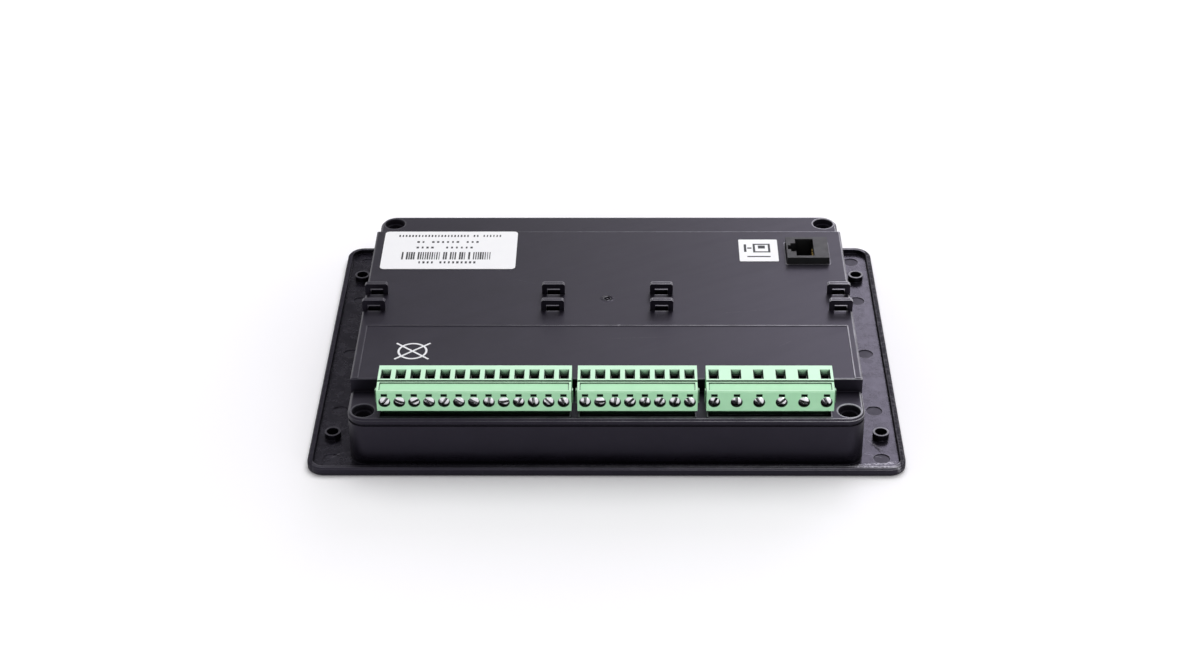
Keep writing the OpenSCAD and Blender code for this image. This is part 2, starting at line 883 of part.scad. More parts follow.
module clamp_screws(middle, ways, pitch) {
  head_y = plug_front_y + clamp_head_sink;
  color(steel)
    for (i = [0:ways - 1])
      translate([way_x(middle, ways, pitch, i), 0, 0])
        difference() {
          union() {
            intersection() {
              along_y(head_y, clamp_screw_z, clamp_head_d, clamp_head_h);
              translate([0, head_y + clamp_dome_r, clamp_screw_z])
                sphere(r = clamp_dome_r);
            }
            along_y(head_y + clamp_head_h, clamp_screw_z, clamp_shank_d, cage_front_y - head_y + cage_wall);
          }
          translate([0, head_y, clamp_screw_z])
            rotate([0, slot_start + slot_turn * i, 0])
              cube([2 * clamp_head_d, 2 * clamp_slot_depth, slot_w], center = true);
        }
}

module clamp_cages(middle, ways, pitch) {
  color(tin)
    for (i = [0:ways - 1])
      translate([way_x(middle, ways, pitch, i), 0, 0])
        difference() {
          span([-cage_w / 2, cage_front_y, cage_bottom_z], [cage_w / 2, cage_back_y, cage_bottom_z + cage_h]);
          span([-cage_w / 2 + cage_wall, entry_mid_y - wire_d / 2, cage_bottom_z - cut],
            [cage_w / 2 - cage_wall, entry_mid_y + wire_d / 2, cage_bottom_z + cage_h + cut]);
          along_y(cage_front_y - cut, clamp_screw_z, clamp_shank_d + thread_gap, wire_d + 2 * cut);
        }
}

// Socket contact: a box over the header pin with a tongue up into the clamp cage
module plug_contacts(middle, ways, pitch) {
  box_bottom = nose_bottom_z + contact_wall;
  box_top = header_top_z - contact_neck;
  color(tin)
    for (i = [0:ways - 1])
      translate([way_x(middle, ways, pitch, i), nose_mid_y, 0]) {
        difference() {
          span([-contact_w / 2, -contact_d / 2, box_bottom], [contact_w / 2, contact_d / 2, box_top]);
          span([-contact_w / 2 + contact_wall, -contact_d / 2 + contact_wall, box_bottom - cut],
            [contact_w / 2 - contact_wall, contact_d / 2 - contact_wall, box_top - contact_wall]);
        }
        span([-contact_w / 2 + contact_wall, contact_d / 2 - contact_tail, box_top],
          [contact_w / 2 - contact_wall, contact_d / 2, cage_bottom_z + cage_h / 2]);
      }
}

module plug_13way() {
  plug(plug_13way_x, long_ways, signal_pitch);
}

module plug_8way() {
  plug(plug_8way_x, short_ways, signal_pitch);
}

module plug_6way() {
  plug(plug_6way_x, power_ways, power_pitch);
}

module plug_13way_screws() {
  clamp_screws(plug_13way_x, long_ways, signal_pitch);
}

module plug_8way_screws() {
  clamp_screws(plug_8way_x, short_ways, signal_pitch);
}

module plug_6way_screws() {
  clamp_screws(plug_6way_x, power_ways, power_pitch);
}

module plug_13way_cages() {
  clamp_cages(plug_13way_x, long_ways, signal_pitch);
}

module plug_8way_cages() {
  clamp_cages(plug_8way_x, short_ways, signal_pitch);
}

module plug_6way_cages() {
  clamp_cages(plug_6way_x, power_ways, power_pitch);
}

module plug_13way_contacts() {
  plug_contacts(plug_13way_x, long_ways, signal_pitch);
}

module plug_8way_contacts() {
  plug_contacts(plug_8way_x, short_ways, signal_pitch);
}

module plug_6way_contacts() {
  plug_contacts(plug_6way_x, power_ways, power_pitch);
}

module at_pins() {
  for (i = [0:long_ways - 1])
    translate([way_x(plug_13way_x, long_ways, signal_pitch, i), nose_mid_y, 0])
      children();
  for (i = [0:short_ways - 1])
    translate([way_x(plug_8way_x, short_ways, signal_pitch, i), nose_mid_y, 0])
      children();
  for (i = [0:power_ways - 1])
    translate([way_x(plug_6way_x, power_ways, power_pitch, i), nose_mid_y, 0])
      children();
}

module pin(gap, low, high) {
  translate([-pin_w / 2 - gap, -pin_w / 2 - gap, low])
    cube([pin_w + 2 * gap, pin_w + 2 * gap, high - low]);
}

// Open-ended header: a channel that the plug's nose drops into, with its pins standing in the floor
module header(middle, ways, pitch) {
  half = nose_len(ways, pitch) / 2 + fit_gap;
  front = nose_front_y - slide_gap;
  back = nose_back_y + slide_gap;
  color("#1c3d28")
    difference() {
      span([middle - half, front - header_wall, board_top_z],
        [middle + half, back + header_wall, header_top_z]);
      span([middle - half - cut, front, board_top_z + header_floor],
        [middle + half + cut, back, header_top_z + cut]);
      at_pins()
        pin(pin_gap, board_top_z - cut, header_top_z);
    }
}

module header_13way() {
  header(plug_13way_x, long_ways, signal_pitch);
}

module header_8way() {
  header(plug_8way_x, short_ways, signal_pitch);
}

module header_6way() {
  header(plug_6way_x, power_ways, power_pitch);
}

module header_pins() {
  color(tin)
    at_pins()
      pin(0, board_bottom_z - pin_tail, header_top_z - pin_short);
}

// Top-entry jack: the latch side of its opening faces -X, the contacts sit on the +X wall
module data_jack() {
  floor_z = jack_top_z - socket_depth;
  color("#1b1a1d")
    difference() {
      span([jack_low_x, jack_y - jack_d / 2, board_top_z],
        [jack_low_x + jack_w, jack_y + jack_d / 2, jack_top_z]);
      span([socket_x, jack_y - socket_len / 2, floor_z],
        [socket_x + socket_w, jack_y + socket_len / 2, jack_top_z + cut]);
      span([jack_low_x + latch_step_1, jack_y - latch_d_1 / 2, floor_z],
        [socket_x + cut, jack_y + latch_d_1 / 2, jack_top_z + cut]);
      span([jack_low_x + latch_step_2, jack_y - latch_d_2 / 2, floor_z],
        [socket_x + cut, jack_y + latch_d_2 / 2, jack_top_z + cut]);
    }
}

// Eight spring wires that lean from the socket's wall into the opening
module jack_contacts() {
  wall_x = socket_x + socket_w;
  top = jack_top_z;
  color(gold)
    for (i = [0:spring_count - 1])
      translate([0, jack_y + (i - (spring_count - 1) / 2) * spring_pitch + spring_wire / 2, 0])
        rotate([90, 0, 0])
          linear_extrude(spring_wire)
            polygon([[wall_x, top - spring_top], [wall_x - spring_wire, top - spring_top],
              [wall_x - spring_reach, top - spring_tip],
              [wall_x - spring_reach + spring_wire, top - spring_tip], [wall_x, top - spring_root]]);
}

module main_board() {
  notch = tube_r + board_gap;
  half_w = case_w / 2 - case_wall - board_gap;
  half_d = case_d / 2 - case_wall - board_gap;
  color("#2c6b3f")
    difference() {
      span([-half_w, -half_d, board_bottom_z], [half_w, half_d, board_top_z]);
      at_corners(screw_x, screw_y)
        translate([0, 0, board_bottom_z])
          cube([2 * notch, 2 * notch, 4 * board_t], center = true);
      at_supports()
        translate([0, 0, board_bottom_z - cut])
          cylinder(d = board_screw_d + 2 * fit_gap, h = board_t + 2 * cut);
      at_pins()
        pin(pin_gap, board_bottom_z - cut, board_top_z + cut);
    }
}

module board_screws() {
  color(steel)
    at_supports()
      difference() {
        union() {
          translate([0, 0, board_bottom_z - board_screw_bite + board_screw_tip])
            cylinder(d = board_screw_d - thread_gap, h = board_screw_bite + board_t - board_screw_tip);
          translate([0, 0, board_top_z])
            cylinder(d = board_head_d, h = board_head_h);
        }
        for (turn = [0, 90])
          translate([0, 0, board_top_z + board_head_h])
            rotate([0, 0, turn])
              cube([board_slot_len, slot_w, 2 * slot_depth], center = true);
      }
}

// Row of output relays behind the thirteen-way header
module relays() {
  color("#2d3138")
    for (i = [0:4])
      translate([relay_x + relay_pitch * i, part_row_y, board_top_z])
        union() {
          linear_extrude(relay_h - relay_edge)
            rounded(relay_w, relay_d, relay_edge);
          linear_extrude(relay_h)
            rounded(relay_w - 2 * relay_edge, relay_d - 2 * relay_edge, relay_edge);
        }
}

// Standing capacitors with the crimped groove of their cans
module capacitors() {
  r = capacitor_r;
  neck = capacitor_r - crimp_in;
  top = capacitor_h - crimp_in;
  color("#34383f")
    for (i = [0:2])
      translate([capacitor_x + capacitor_pitch * i, part_row_y, board_top_z])
        rotate_extrude()
          polygon([[0, 0], [r, 0], [r, crimp_z], [neck, crimp_z + crimp_in],
            [neck, crimp_z + crimp_in + crimp_h], [r, crimp_z + 2 * crimp_in + crimp_h], [r, top],
            [neck, capacitor_h], [0, capacitor_h]]);
}

// Drum-core choke: two flanges with the winding between them
module power_choke() {
  color("#57524c")
    translate([choke_x, part_row_y, board_top_z])
      rotate_extrude()
        difference() {
          square([choke_r, choke_h]);
          translate([choke_r - choke_neck, choke_flange])
            square([choke_r, choke_h - 2 * choke_flange]);
        }
}

// Flat processor package with legs along its four sides
module processor_chip() {
  color("#232427")
    translate([0, chip_y, board_top_z]) {
      translate([0, 0, chip_rise])
        linear_extrude(chip_h)
          square(chip_side, center = true);
      for (turn = [0:90:270], i = [0:chip_legs - 1])
        rotate([0, 0, turn])
          translate([chip_side / 2 - chip_rise, (i - (chip_legs - 1) / 2) * chip_leg_pitch, 0])
            translate([0, -chip_leg_w / 2, 0])
              cube([chip_leg_len, chip_leg_w, chip_leg_h]);
    }
}

// Metal can of the display, open towards the board
module lcd_frame() {
  color("#8f9296")
    translate([0, view_y, 0])
      difference() {
        translate([0, 0, panel_rear_z])
          linear_extrude(board_rise)
            square([lcd_w, lcd_d], center = true);
        translate([0, 0, panel_rear_z + lcd_wall])
          linear_extrude(board_rise)
            square([lcd_w - 2 * lcd_wall, lcd_d - 2 * lcd_wall], center = true);
        translate([0, 0, panel_rear_z - cut])
          linear_extrude(board_rise)
            square([view_w + window_ledge, view_d + window_ledge], center = true);
      }
}

module lcd_layer(low, high) {
  translate([0, view_y, low])
    linear_extrude(high - low)
      square([lcd_w - 2 * lcd_wall - fit_gap, lcd_d - 2 * lcd_wall - fit_gap], center = true);
}

module lcd_glass() {
  color("#9fb09a")
    lcd_layer(panel_rear_z + lcd_wall, panel_rear_z + lcd_wall + glass_t);
}

module backlight() {
  color("#e9efe6")
    lcd_layer(panel_rear_z + lcd_wall + glass_t, board_bottom_z);
}

module display_window() {
  color("#c9d3d6")
    translate([0, view_y, recess_depth])
      linear_extrude(window_t)
        square([view_w + 2 * window_lap, view_d + 2 * window_lap], center = true);
}

module fascia_overlay() {
  color("#4b5058")
    difference() {
      translate([0, 0, recess_depth - overlay_t])
        linear_extrude(overlay_t)
          case_outline(fascia_margin + fit_gap);
      translate([0, view_y, -cut])
        linear_extrude(recess_depth + 2 * cut)
          square([view_w, view_d], center = true);
      key_holes();
      lamp_holes(led_d);
    }
}

module key_cap(i, tint) {
  color(tint)
    translate([key_x(i), key_y, 0]) {
      translate([0, 0, recess_depth - overlay_t - key_proud])
        linear_extrude(panel_rear_z - recess_depth + overlay_t + key_proud)
          rounded(key_w, key_d, key_r);
      translate([0, 0, panel_rear_z])
        linear_extrude(key_flange_t)
          rounded(key_w + 2 * key_flange, key_d + 2 * key_flange, key_r + key_flange);
    }
}

module key_scroll() {
  key_cap(0, "#5d6168");
}

module key_stop() {
  key_cap(1, "#b3282d");
}

module key_manual() {
  key_cap(2, "#5d6168");
}

module key_auto() {
  key_cap(3, "#5d6168");
}

module key_start() {
  key_cap(4, "#2f8f4e");
}

module plunger(i) {
  low = panel_rear_z + key_flange_t;
  color("#d8d4c8")
    translate([key_x(i), key_y, low])
      cylinder(d = plunger_d, h = board_bottom_z - switch_h + plunger_in - low);
}

module plunger_scroll() {
  plunger(0);
}

module plunger_stop() {
  plunger(1);
}

module plunger_manual() {
  plunger(2);
}

module plunger_auto() {
  plunger(3);
}

module plunger_start() {
  plunger(4);
}

module switch_bodies() {
  color("#1f1f22")
    for (i = [0:len(key_names) - 1])
      translate([key_x(i), key_y, board_bottom_z - switch_h])
        difference() {
          translate([-switch_w / 2, -switch_d / 2, 0])
            cube([switch_w, switch_d, switch_h]);
          translate([0, 0, -cut])
            cylinder(d = plunger_d + 2 * slide_gap, h = plunger_in + key_travel + slide_gap + cut);
        }
}

module status_leds() {
  dome_z = recess_depth + led_sink + led_d / 2;
  base_z = dome_z + led_body_h;
  color("#d8e6d2")
    at_lamps() {
      translate([0, 0, dome_z])
        sphere(d = led_d);
      translate([0, 0, dome_z])
        cylinder(d = led_d, h = led_body_h);
      translate([0, 0, base_z - led_collar_h])
        cylinder(d = led_d + 2 * led_collar, h = led_collar_h);
      for (side = [-1, 1])
        translate([(side * led_leg_pitch - led_leg_w) / 2, -led_leg_w / 2, base_z - led_collar_h / 2])
          cube([led_leg_w, led_leg_w, board_bottom_z - base_z + led_collar_h / 2]);
    }
}

front_case();
rear_cover();
cover_screws();
rating_label();
port_label();
plug_13way();
plug_13way_screws();
plug_13way_cages();
plug_13way_contacts();
plug_8way();
plug_8way_screws();
plug_8way_cages();
plug_8way_contacts();
plug_6way();
plug_6way_screws();
plug_6way_cages();
plug_6way_contacts();
header_13way();
header_8way();
header_6way();
header_pins();
data_jack();
jack_contacts();
main_board();
board_screws();
relays();
capacitors();
power_choke();
processor_chip();
lcd_frame();
lcd_glass();
backlight();
display_window();
fascia_overlay();
key_scroll();
key_stop();
key_manual();
key_auto();
key_start();
plunger_scroll();
plunger_stop();
plunger_manual();
plunger_auto();
plunger_start();
switch_bodies();
status_leds();
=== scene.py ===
import json
import math

import bmesh
import bpy
from mathutils import Matrix, Vector


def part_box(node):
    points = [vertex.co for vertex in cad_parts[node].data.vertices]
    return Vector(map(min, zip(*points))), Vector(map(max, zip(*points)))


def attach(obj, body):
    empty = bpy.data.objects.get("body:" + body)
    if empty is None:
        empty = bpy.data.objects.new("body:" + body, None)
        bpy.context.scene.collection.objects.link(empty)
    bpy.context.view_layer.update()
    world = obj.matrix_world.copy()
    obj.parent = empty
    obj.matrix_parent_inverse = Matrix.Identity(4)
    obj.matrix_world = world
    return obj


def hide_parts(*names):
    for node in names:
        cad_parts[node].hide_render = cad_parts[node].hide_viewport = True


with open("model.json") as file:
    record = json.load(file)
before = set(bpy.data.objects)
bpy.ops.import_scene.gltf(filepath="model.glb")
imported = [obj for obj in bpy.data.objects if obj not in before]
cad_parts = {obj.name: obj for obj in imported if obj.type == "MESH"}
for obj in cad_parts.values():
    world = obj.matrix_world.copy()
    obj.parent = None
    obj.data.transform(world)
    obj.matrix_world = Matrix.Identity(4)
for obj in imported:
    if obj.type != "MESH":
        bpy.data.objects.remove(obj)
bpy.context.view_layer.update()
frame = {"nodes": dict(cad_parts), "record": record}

# Sizes are in metres; MM turns a size that is thought of in millimetres into metres.
MM = 0.001
HOUSING = "housing"
PLUG_WAYS = {"plug_13way": 13, "plug_8way": 8, "plug_6way": 6}
KEY_NAMES = ("scroll", "stop", "manual", "auto", "start")
LAMP_COUNT = 4

# Photograph frame and the camera that was found for it
PHOTO_W = 1200
PHOTO_H = 670
AXIS_X = 601.0
AXIS_Y = 346.5
FOCAL_PX = 2318.0
SENSOR_W = 36.0
CAMERA_DISTANCE = 824.15 * MM
CAMERA_ELEVATION = math.radians(32.458)
CAMERA_YAW = math.radians(0.817)
CAMERA_ROLL = math.radians(-0.428)
CAMERA_TARGET = Vector((-2.18, -16.09, 15.0)) * MM

# Clamp screws in the terminal plugs
SCREW_HEAD_DEPTH = 1.7 * MM
SCREW_DOME_R = 4.6 * MM
SCREW_SLOT_W = 0.9 * MM
SCREW_SLOT_DEPTH = 1.1 * MM
SCREW_SHANK_R = 1.4 * MM
SCREW_HEAD_SIDES = 40
SCREW_SHANK_SIDES = 24
SHARP_EDGE = math.radians(30)
FIRST_TURN_SEED = 4

# Screws and wells in the corners of the rear cover
COVER_SCREW_R = 2.5 * MM
WELL_R = 3.8 * MM
WELL_LAND_R = 4.45 * MM

# Ink lies this thick on labels, cover, fascia and keys; the legend field lies this deep in the cover
INK_T = 0.02 * MM
LEGEND_DEPTH = 0.2 * MM

# Rows on the rating label: name, start and end across, level, bars, height in mm, widest bar, gaps, seed
RATING_ROWS = (
    ("heading", 0.10, 0.93, 0.88, 34, 1.5, 0.558, 0.16, 11),
    ("upper", 0.24, 0.72, 0.715, 13, 1.3, 0.54, 0.2, 12),
    ("middle", 0.24, 0.68, 0.565, 12, 1.3, 0.54, 0.2, 13),
    ("bars", 0.145, 0.83, 0.345, 40, 5.4, 0.81, 0.26, 14),
    ("serial", 0.27, 0.71, 0.17, 14, 1.5, 0.558, 0.1, 15),
)

# Narrowest bar, like the widest one a share of a row's step, and what the gaps' seed is ahead of the row's
NARROWEST_BAR = 0.35
GAP_SEED_SHIFT = 50.0

# White mark on the cover
MARK_PLACE = (-67.3 * MM, -34.8 * MM)
MARK_REACH = 15.6 * MM
MARK_RING_R = 5.2 * MM
MARK_LINE = 0.75 * MM
MARK_LEAN = math.radians(41)

# Sign of a socket on the port label: a square frame, and bars by place, length and width in mm
SIGN_LINE = 0.8 * MM
PORT_FRAME_PLACE = (1.2, 1.6)
PORT_FRAME_SIDE = 6.4 * MM
PORT_BARS = (
    ((1.2, 2.4), 2.6, 2.2),
    ((-3.3, 1.6), 1.6, 0.9),
    ((-4.9, 1.6), 0.9, 5.6),
    ((0.0, -4.6), 8.6, 0.8),
)

# Lines on the fascia: round the display window, beside the lamps and beside the keys
WINDOW_FRAME_EXTRA = 5 * MM
WINDOW_LINE = 0.7 * MM
LAMP_TICK = 4.2 * MM
LAMP_TICK_AWAY = 4.5 * MM
KEY_LINE = 11 * MM
KEY_LINE_AWAY = 3.4 * MM

# Signs on the keys
ARROW_R = 1.5 * MM
ARROW_SPREAD = 2.2
ARROW_AWAY = 1.9 * MM
STOP_RING_R = 2.9 * MM
MANUAL_CROSS = 5.2 * MM
AUTO_FRAME_W = 5.6 * MM
AUTO_FRAME_D = 5.0 * MM
AUTO_DASH = 2.0 * MM
START_BAR_W = 0.9 * MM
START_BAR_D = 5.6 * MM

# Studio: the floor's glow by distance and the lamps by place, size, power and colour
FLOOR_SIDE = 12.0
FLOOR_PAPER = (0.90, 0.892, 0.915)
FLOOR_NEAR_GLOW = (0.09, 0.22, 0.06, 0.25)
FLOOR_FAR_GLOW = (0.25, 2.0, 0.0, 0.5)
CARD_PLACE = (-0.52, 0.95, 0.70)
CARD_TURN = math.radians(28)
CARD_W = 0.90
CARD_H = 0.64
CARD_GREY = (0.21, 0.21, 0.22)
AMBIENT = 0.36
NEUTRAL = (1.0, 1.0, 1.0)
COOL = (0.88, 0.83, 1.0)
SOFT_BOXES = {
    "overhead_box": ((0.12, 0.42, 1.12), (1.1, 0.8), 9.2, NEUTRAL),
    "back_right_box": ((0.47, 1.22, 0.82), (0.6, 0.5), 4.4, COOL),
    "front_key": ((0.40, -0.62, 1.0), (0.25, 0.25), 1.3, NEUTRAL),
    "front_fill": ((0.62, -1.25, 0.24), (0.5, 0.35), 2.8, NEUTRAL),
}


def mm(*sizes):
    """Sizes in millimetres as a tuple in metres."""
    return tuple(size * MM for size in sizes)


def new_object(name, data):
    """Object with this data, linked into the scene."""
    made = bpy.data.objects.new(name, data)
    bpy.context.scene.collection.objects.link(made)
    return made


# Node-built finishes


class Finish:
    """One surface finish: a Principled shader whose textures lie on Object coordinates."""

    def __init__(self, name, colour, rough, **constants):
        self.material = bpy.data.materials.new(name)
        self.material.use_nodes = True
        self.nodes = self.material.node_tree.nodes
        self.links = self.material.node_tree.links
        self.shader = self.nodes["Principled BSDF"]
        self.shader.inputs["Base Color"].default_value = (*colour, 1.0)
        self.shader.inputs["Roughness"].default_value = rough
        for socket, value in constants.items():
            self.shader.inputs[socket.replace("_", " ")].default_value = value
        self.coords = self.nodes.new("ShaderNodeTexCoord").outputs["Object"]
        self.normal = None

    def link(self, source, target):
        if isinstance(source, (int, float)):
            target.default_value = source
        elif isinstance(source, tuple):
            target.default_value = (*source, 1.0) if len(source) == 3 else source
        else:
            self.links.new(source, target)

    def mapped(self, centre=(0, 0, 0), turn=(0, 0, 0), stretch=(1, 1, 1)):
        """Object coordinates about a centre, turned and stretched."""
        node = self.nodes.new("ShaderNodeMapping")
        node.vector_type = "TEXTURE"
        self.links.new(self.coords, node.inputs["Vector"])
        node.inputs["Location"].default_value = centre
        node.inputs["Rotation"].default_value = turn
        node.inputs["Scale"].default_value = stretch
        return node.outputs["Vector"]

    def noise(self, size, detail=2.0, rough=0.5, vector=None):
        """Cloudy value with features of about the given size."""
        node = self.nodes.new("ShaderNodeTexNoise")
        self.links.new(vector or self.coords, node.inputs["Vector"])
        node.inputs["Scale"].default_value = 1.0 / size
        node.inputs["Detail"].default_value = detail
        node.inputs["Roughness"].default_value = rough
        return node.outputs["Fac"]

    def cells(self, size):
        """Distance to the nearest of points that lie about the given size apart."""
        node = self.nodes.new("ShaderNodeTexVoronoi")
        self.links.new(self.coords, node.inputs["Vector"])
        node.inputs["Scale"].default_value = 1.0 / size
        return node.outputs["Distance"]

    def ranged(self, value, low, high, to_low=0.0, to_high=1.0):
        """Value between two limits, clamped and carried over to another range."""
        node = self.nodes.new("ShaderNodeMapRange")
        self.link(value, node.inputs["Value"])
        limits = {"From Min": low, "From Max": high, "To Min": to_low, "To Max": to_high}
        for socket, limit in limits.items():
            node.inputs[socket].default_value = limit
        return node.outputs["Result"]

    def math(self, operation, a, b=0.0):
        node = self.nodes.new("ShaderNodeMath")
        node.operation = operation
        self.link(a, node.inputs[0])
        self.link(b, node.inputs[1])
        return node.outputs["Value"]

    def times(self, *values):
        product = values[0]
        for value in values[1:]:
            product = self.math("MULTIPLY", product, value)
        return product

    def add(self, *values):
        total = values[0]
        for value in values[1:]:
            total = self.math("ADD", total, value)
        return total

    def rest_of(self, share):
        """What a share leaves of one."""
        return self.math("SUBTRACT", 1.0, share)

    def vector_math(self, operation, vector, other=(0, 0, 0)):
        """Vector operation; a length or a distance comes back as a number."""
        node = self.nodes.new("ShaderNodeVectorMath")
        node.operation = operation
        self.links.new(vector, node.inputs[0])
        node.inputs[1].default_value = other
        return node.outputs["Value" if operation in ("LENGTH", "DISTANCE") else "Vector"]

    def axis(self, name, vector=None):
        node = self.nodes.new("ShaderNodeSeparateXYZ")
        self.links.new(vector or self.coords, node.inputs["Vector"])
        return node.outputs[name]

    def facing(self, name):
        """How far the surface turns towards an axis."""
        return self.axis(name, self.nodes.new("ShaderNodeNewGeometry").outputs["Normal"])

    def mix(self, share, a, b):
        """Colour a turning into colour b with the share."""
        node = self.nodes.new("ShaderNodeMix")
        node.data_type = "RGBA"
        self.link(share, node.inputs["Factor"])
        self.link(a, node.inputs["A"])
        self.link(b, node.inputs["B"])
        return node.outputs["Result"]

    def spot(self, centre, radius):
        """One inside a ball about a centre, fading to nothing at its edge."""
        return self.ranged(self.vector_math("DISTANCE", self.coords, centre), radius, 0.6 * radius)

    def stroke(self, centre, turn, length, width):
        """One along a straight scratch seen from above, broken up by noise."""
        place = self.mapped((*centre, 0), (0, 0, turn))
        along = self.ranged(self.math("ABSOLUTE", self.axis("X", place)), length / 2, 0.35 * length)
        across = self.ranged(self.math("ABSOLUTE", self.axis("Y", place)), width / 2, 0.2 * width)
        return self.times(along, across, self.ranged(self.noise(0.8 * MM, 3.0, 0.7), 0.4, 0.62))

    def corner_wells(self, centre, radius):
        """One inside four upright holes that lie evenly about the origin."""
        folded = self.vector_math("ABSOLUTE", self.coords)
        level = self.vector_math("MULTIPLY", folded, (1, 1, 0))
        away = self.vector_math("DISTANCE", level, centre)
        return self.ranged(away, 1.01 * radius, 0.98 * radius)

    def openness(self, reach, inside=False, alone=True):
        """Share of open space within a reach of the surface, or of material under it."""
        node = self.nodes.new("ShaderNodeAmbientOcclusion")
        node.samples = 12
        node.inside = inside
        node.only_local = alone
        node.inputs["Distance"].default_value = reach
        return node.outputs["AO"]

    def outer_edges(self, reach):
        """One along the outer edges of level faces, where little material lies under the surface."""
        level = self.ranged(self.facing("Z"), 0.3, 0.7)
        return self.times(self.ranged(self.openness(reach, inside=True), 0.98, 0.88), level)

    def colour(self, value):
        self.link(value, self.shader.inputs["Base Color"])

    def rough(self, value):
        self.link(value, self.shader.inputs["Roughness"])

    def soft_edges(self, radius):
        """Rounds the look of sharp edges."""
        node = self.nodes.new("ShaderNodeBevel")
        node.samples = 6
        node.inputs["Radius"].default_value = radius
        self.normal = node.outputs["Normal"]
        self.links.new(self.normal, self.shader.inputs["Normal"])

    def bump(self, height, depth, strength=1.0):
        """Raises the surface by a height value times a depth."""
        node = self.nodes.new("ShaderNodeBump")
        node.inputs["Strength"].default_value = strength
        node.inputs["Distance"].default_value = depth
        self.links.new(height, node.inputs["Height"])
        if self.normal is not None:
            self.links.new(self.normal, node.inputs["Normal"])
        self.normal = node.outputs["Normal"]
        self.links.new(self.normal, self.shader.inputs["Normal"])


# Black plastic of case and cover
BLACK_ROUGH = 0.40
BLACK_SPECULAR = 0.30
BLACK_TINT = (0.80, 0.73, 1.0, 1.0)
BLACK_DARK = (0.0045, 0.0038, 0.0062)
BLACK_PALE = (0.0070, 0.0060, 0.0095)
# Near black painted as shade in creases and inside the cover's corner wells; it is also the colour of the
# gash in the cover's middle
BLACK_PAINTED_SHADE_AND_GASH = (0.0008, 0.0007, 0.0011)
# Pale grey painted as highlight along outer edges and on the rings round the cover's wells; it also paints
# the pale torn patches by the flange's front right rim
PALE_HIGHLIGHT_AND_WEAR = (0.62, 0.61, 0.66)
SCUFF = (0.30, 0.29, 0.32)
# How strong the painted edge highlights are on the cover and on the case
COVER_EDGE_HIGHLIGHT = 0.85
CASE_EDGE_HIGHLIGHT = 0.4
CREASE_POLISH = -0.1

# Heights on the front case and places along it, from where a mask starts to where it is full
BACK_OF_BEZEL = mm(1.0, 1.3)
FLANGE_AND_BELOW = mm(1.75, 1.65)
EJECTOR_MARK_FLOOR = mm(1.5, 1.42)
ABOVE_FLANGE = mm(1.7, 1.9)
SIDE_RIM = mm(99.5, 99.7)
RIGHT_LIGHT_SPAN = mm(-50, 85)

# Marks in millimetres: scars by the sprue, scratches on the cover, scuffs and tears on the flange, the two
# pale tears by the front right rim painted as highlight too
SPRUE_SCARS = (((0.2, 0.6), 1.0, 0.5), ((1.6, -1.2), 0.6, 0.4), ((4.2, -18.0), 0.7, 0.5))
COVER_SCRATCHES = (((48, -9), 0.15, 15), ((-30, 12), -0.4, 9), ((12, -26), 0.05, 22), ((62, -30), 0.7, 6))
COVER_SCRATCH_W = 0.35 * MM
FLANGE_MARKS = (
    ((92, -58), -0.95, 9, 0.8, 0.5, SCUFF),
    ((91, -64), -0.35, 7, 0.8, 0.35, SCUFF),
    ((-92, -64), 0.6, 6, 0.8, 0.25, SCUFF),
    ((94, -70.2), 0.5, 9, 1.4, 0.7, SCUFF),
    # Pale torn patches by the front right rim, painted as a highlight
    ((91, -73.1), 0.0, 19, 1.6, 0.8, PALE_HIGHLIGHT_AND_WEAR),
    ((91.5, -69.2), 0.12, 15, 1.8, 0.8, PALE_HIGHLIGHT_AND_WEAR),
)


def right_light_ramp(finish):
    """Grows from the left to the right end: painted light, for the light that falls stronger on the right
    side.
    """
    return finish.ranged(finish.axis("X"), *RIGHT_LIGHT_SPAN, 0.12, 1.0)


def side_rim(finish):
    """One on the left and right rim of the bezel."""
    return finish.ranged(finish.math("ABSOLUTE", finish.axis("X")), *SIDE_RIM)


def black_plastic(name, highlight_share):
    """Black moulding with clouds, wiped streaks and dust specks, painted highlights along edges and painted
    shade in creases; returns finish, tone and polish.
    """
    finish = Finish(name, BLACK_DARK, BLACK_ROUGH,
                    Specular_IOR_Level=BLACK_SPECULAR, Specular_Tint=BLACK_TINT)
    clouds = finish.noise(14 * MM, 4.0, 0.6)
    tone = finish.mix(finish.ranged(clouds, 0.35, 0.7), BLACK_DARK, BLACK_PALE)
    specks = finish.ranged(finish.cells(4.2 * MM), 0.026, 0.014)
    rare = finish.ranged(finish.noise(9 * MM), 0.52, 0.62)
    tone = finish.mix(finish.times(specks, rare, 0.3), tone, SCUFF)
    patches = finish.ranged(finish.noise(6 * MM, 4.0, 0.65), 0.35, 0.6, 0.6, 1.0)
    raised = finish.ranged(finish.axis("Z"), *ABOVE_FLANGE, 0.15, 1.0)
    spared = finish.ranged(side_rim(finish), 0.0, 1.0, 1.0, 0.15)
    # Painted highlight along the outer edges of level faces, stronger towards the right where the light falls
    painted_edge_highlight = finish.times(finish.outer_edges(0.5 * MM), patches, right_light_ramp(finish), raised, spared, highlight_share)
    tone = finish.mix(painted_edge_highlight, tone, PALE_HIGHLIGHT_AND_WEAR)
    # Painted shade: near black where other parts or walls close in over the surface
    unshaded_share = finish.ranged(finish.openness(2.5 * MM, alone=False), 0.5, 0.9)
    tone = finish.mix(unshaded_share, BLACK_PAINTED_SHADE_AND_GASH, tone)
    streaks = finish.noise(5 * MM, 3.0, 0.55, finish.mapped(turn=(0, 0, 0.5), stretch=(9.0, 1.0, 1.0)))
    shine = finish.ranged(streaks, 0.3, 0.75, BLACK_ROUGH - 0.03, BLACK_ROUGH + 0.04)
    polish = finish.add(shine, finish.ranged(unshaded_share, 0.0, 0.8, CREASE_POLISH, 0.0))
    return finish, tone, polish


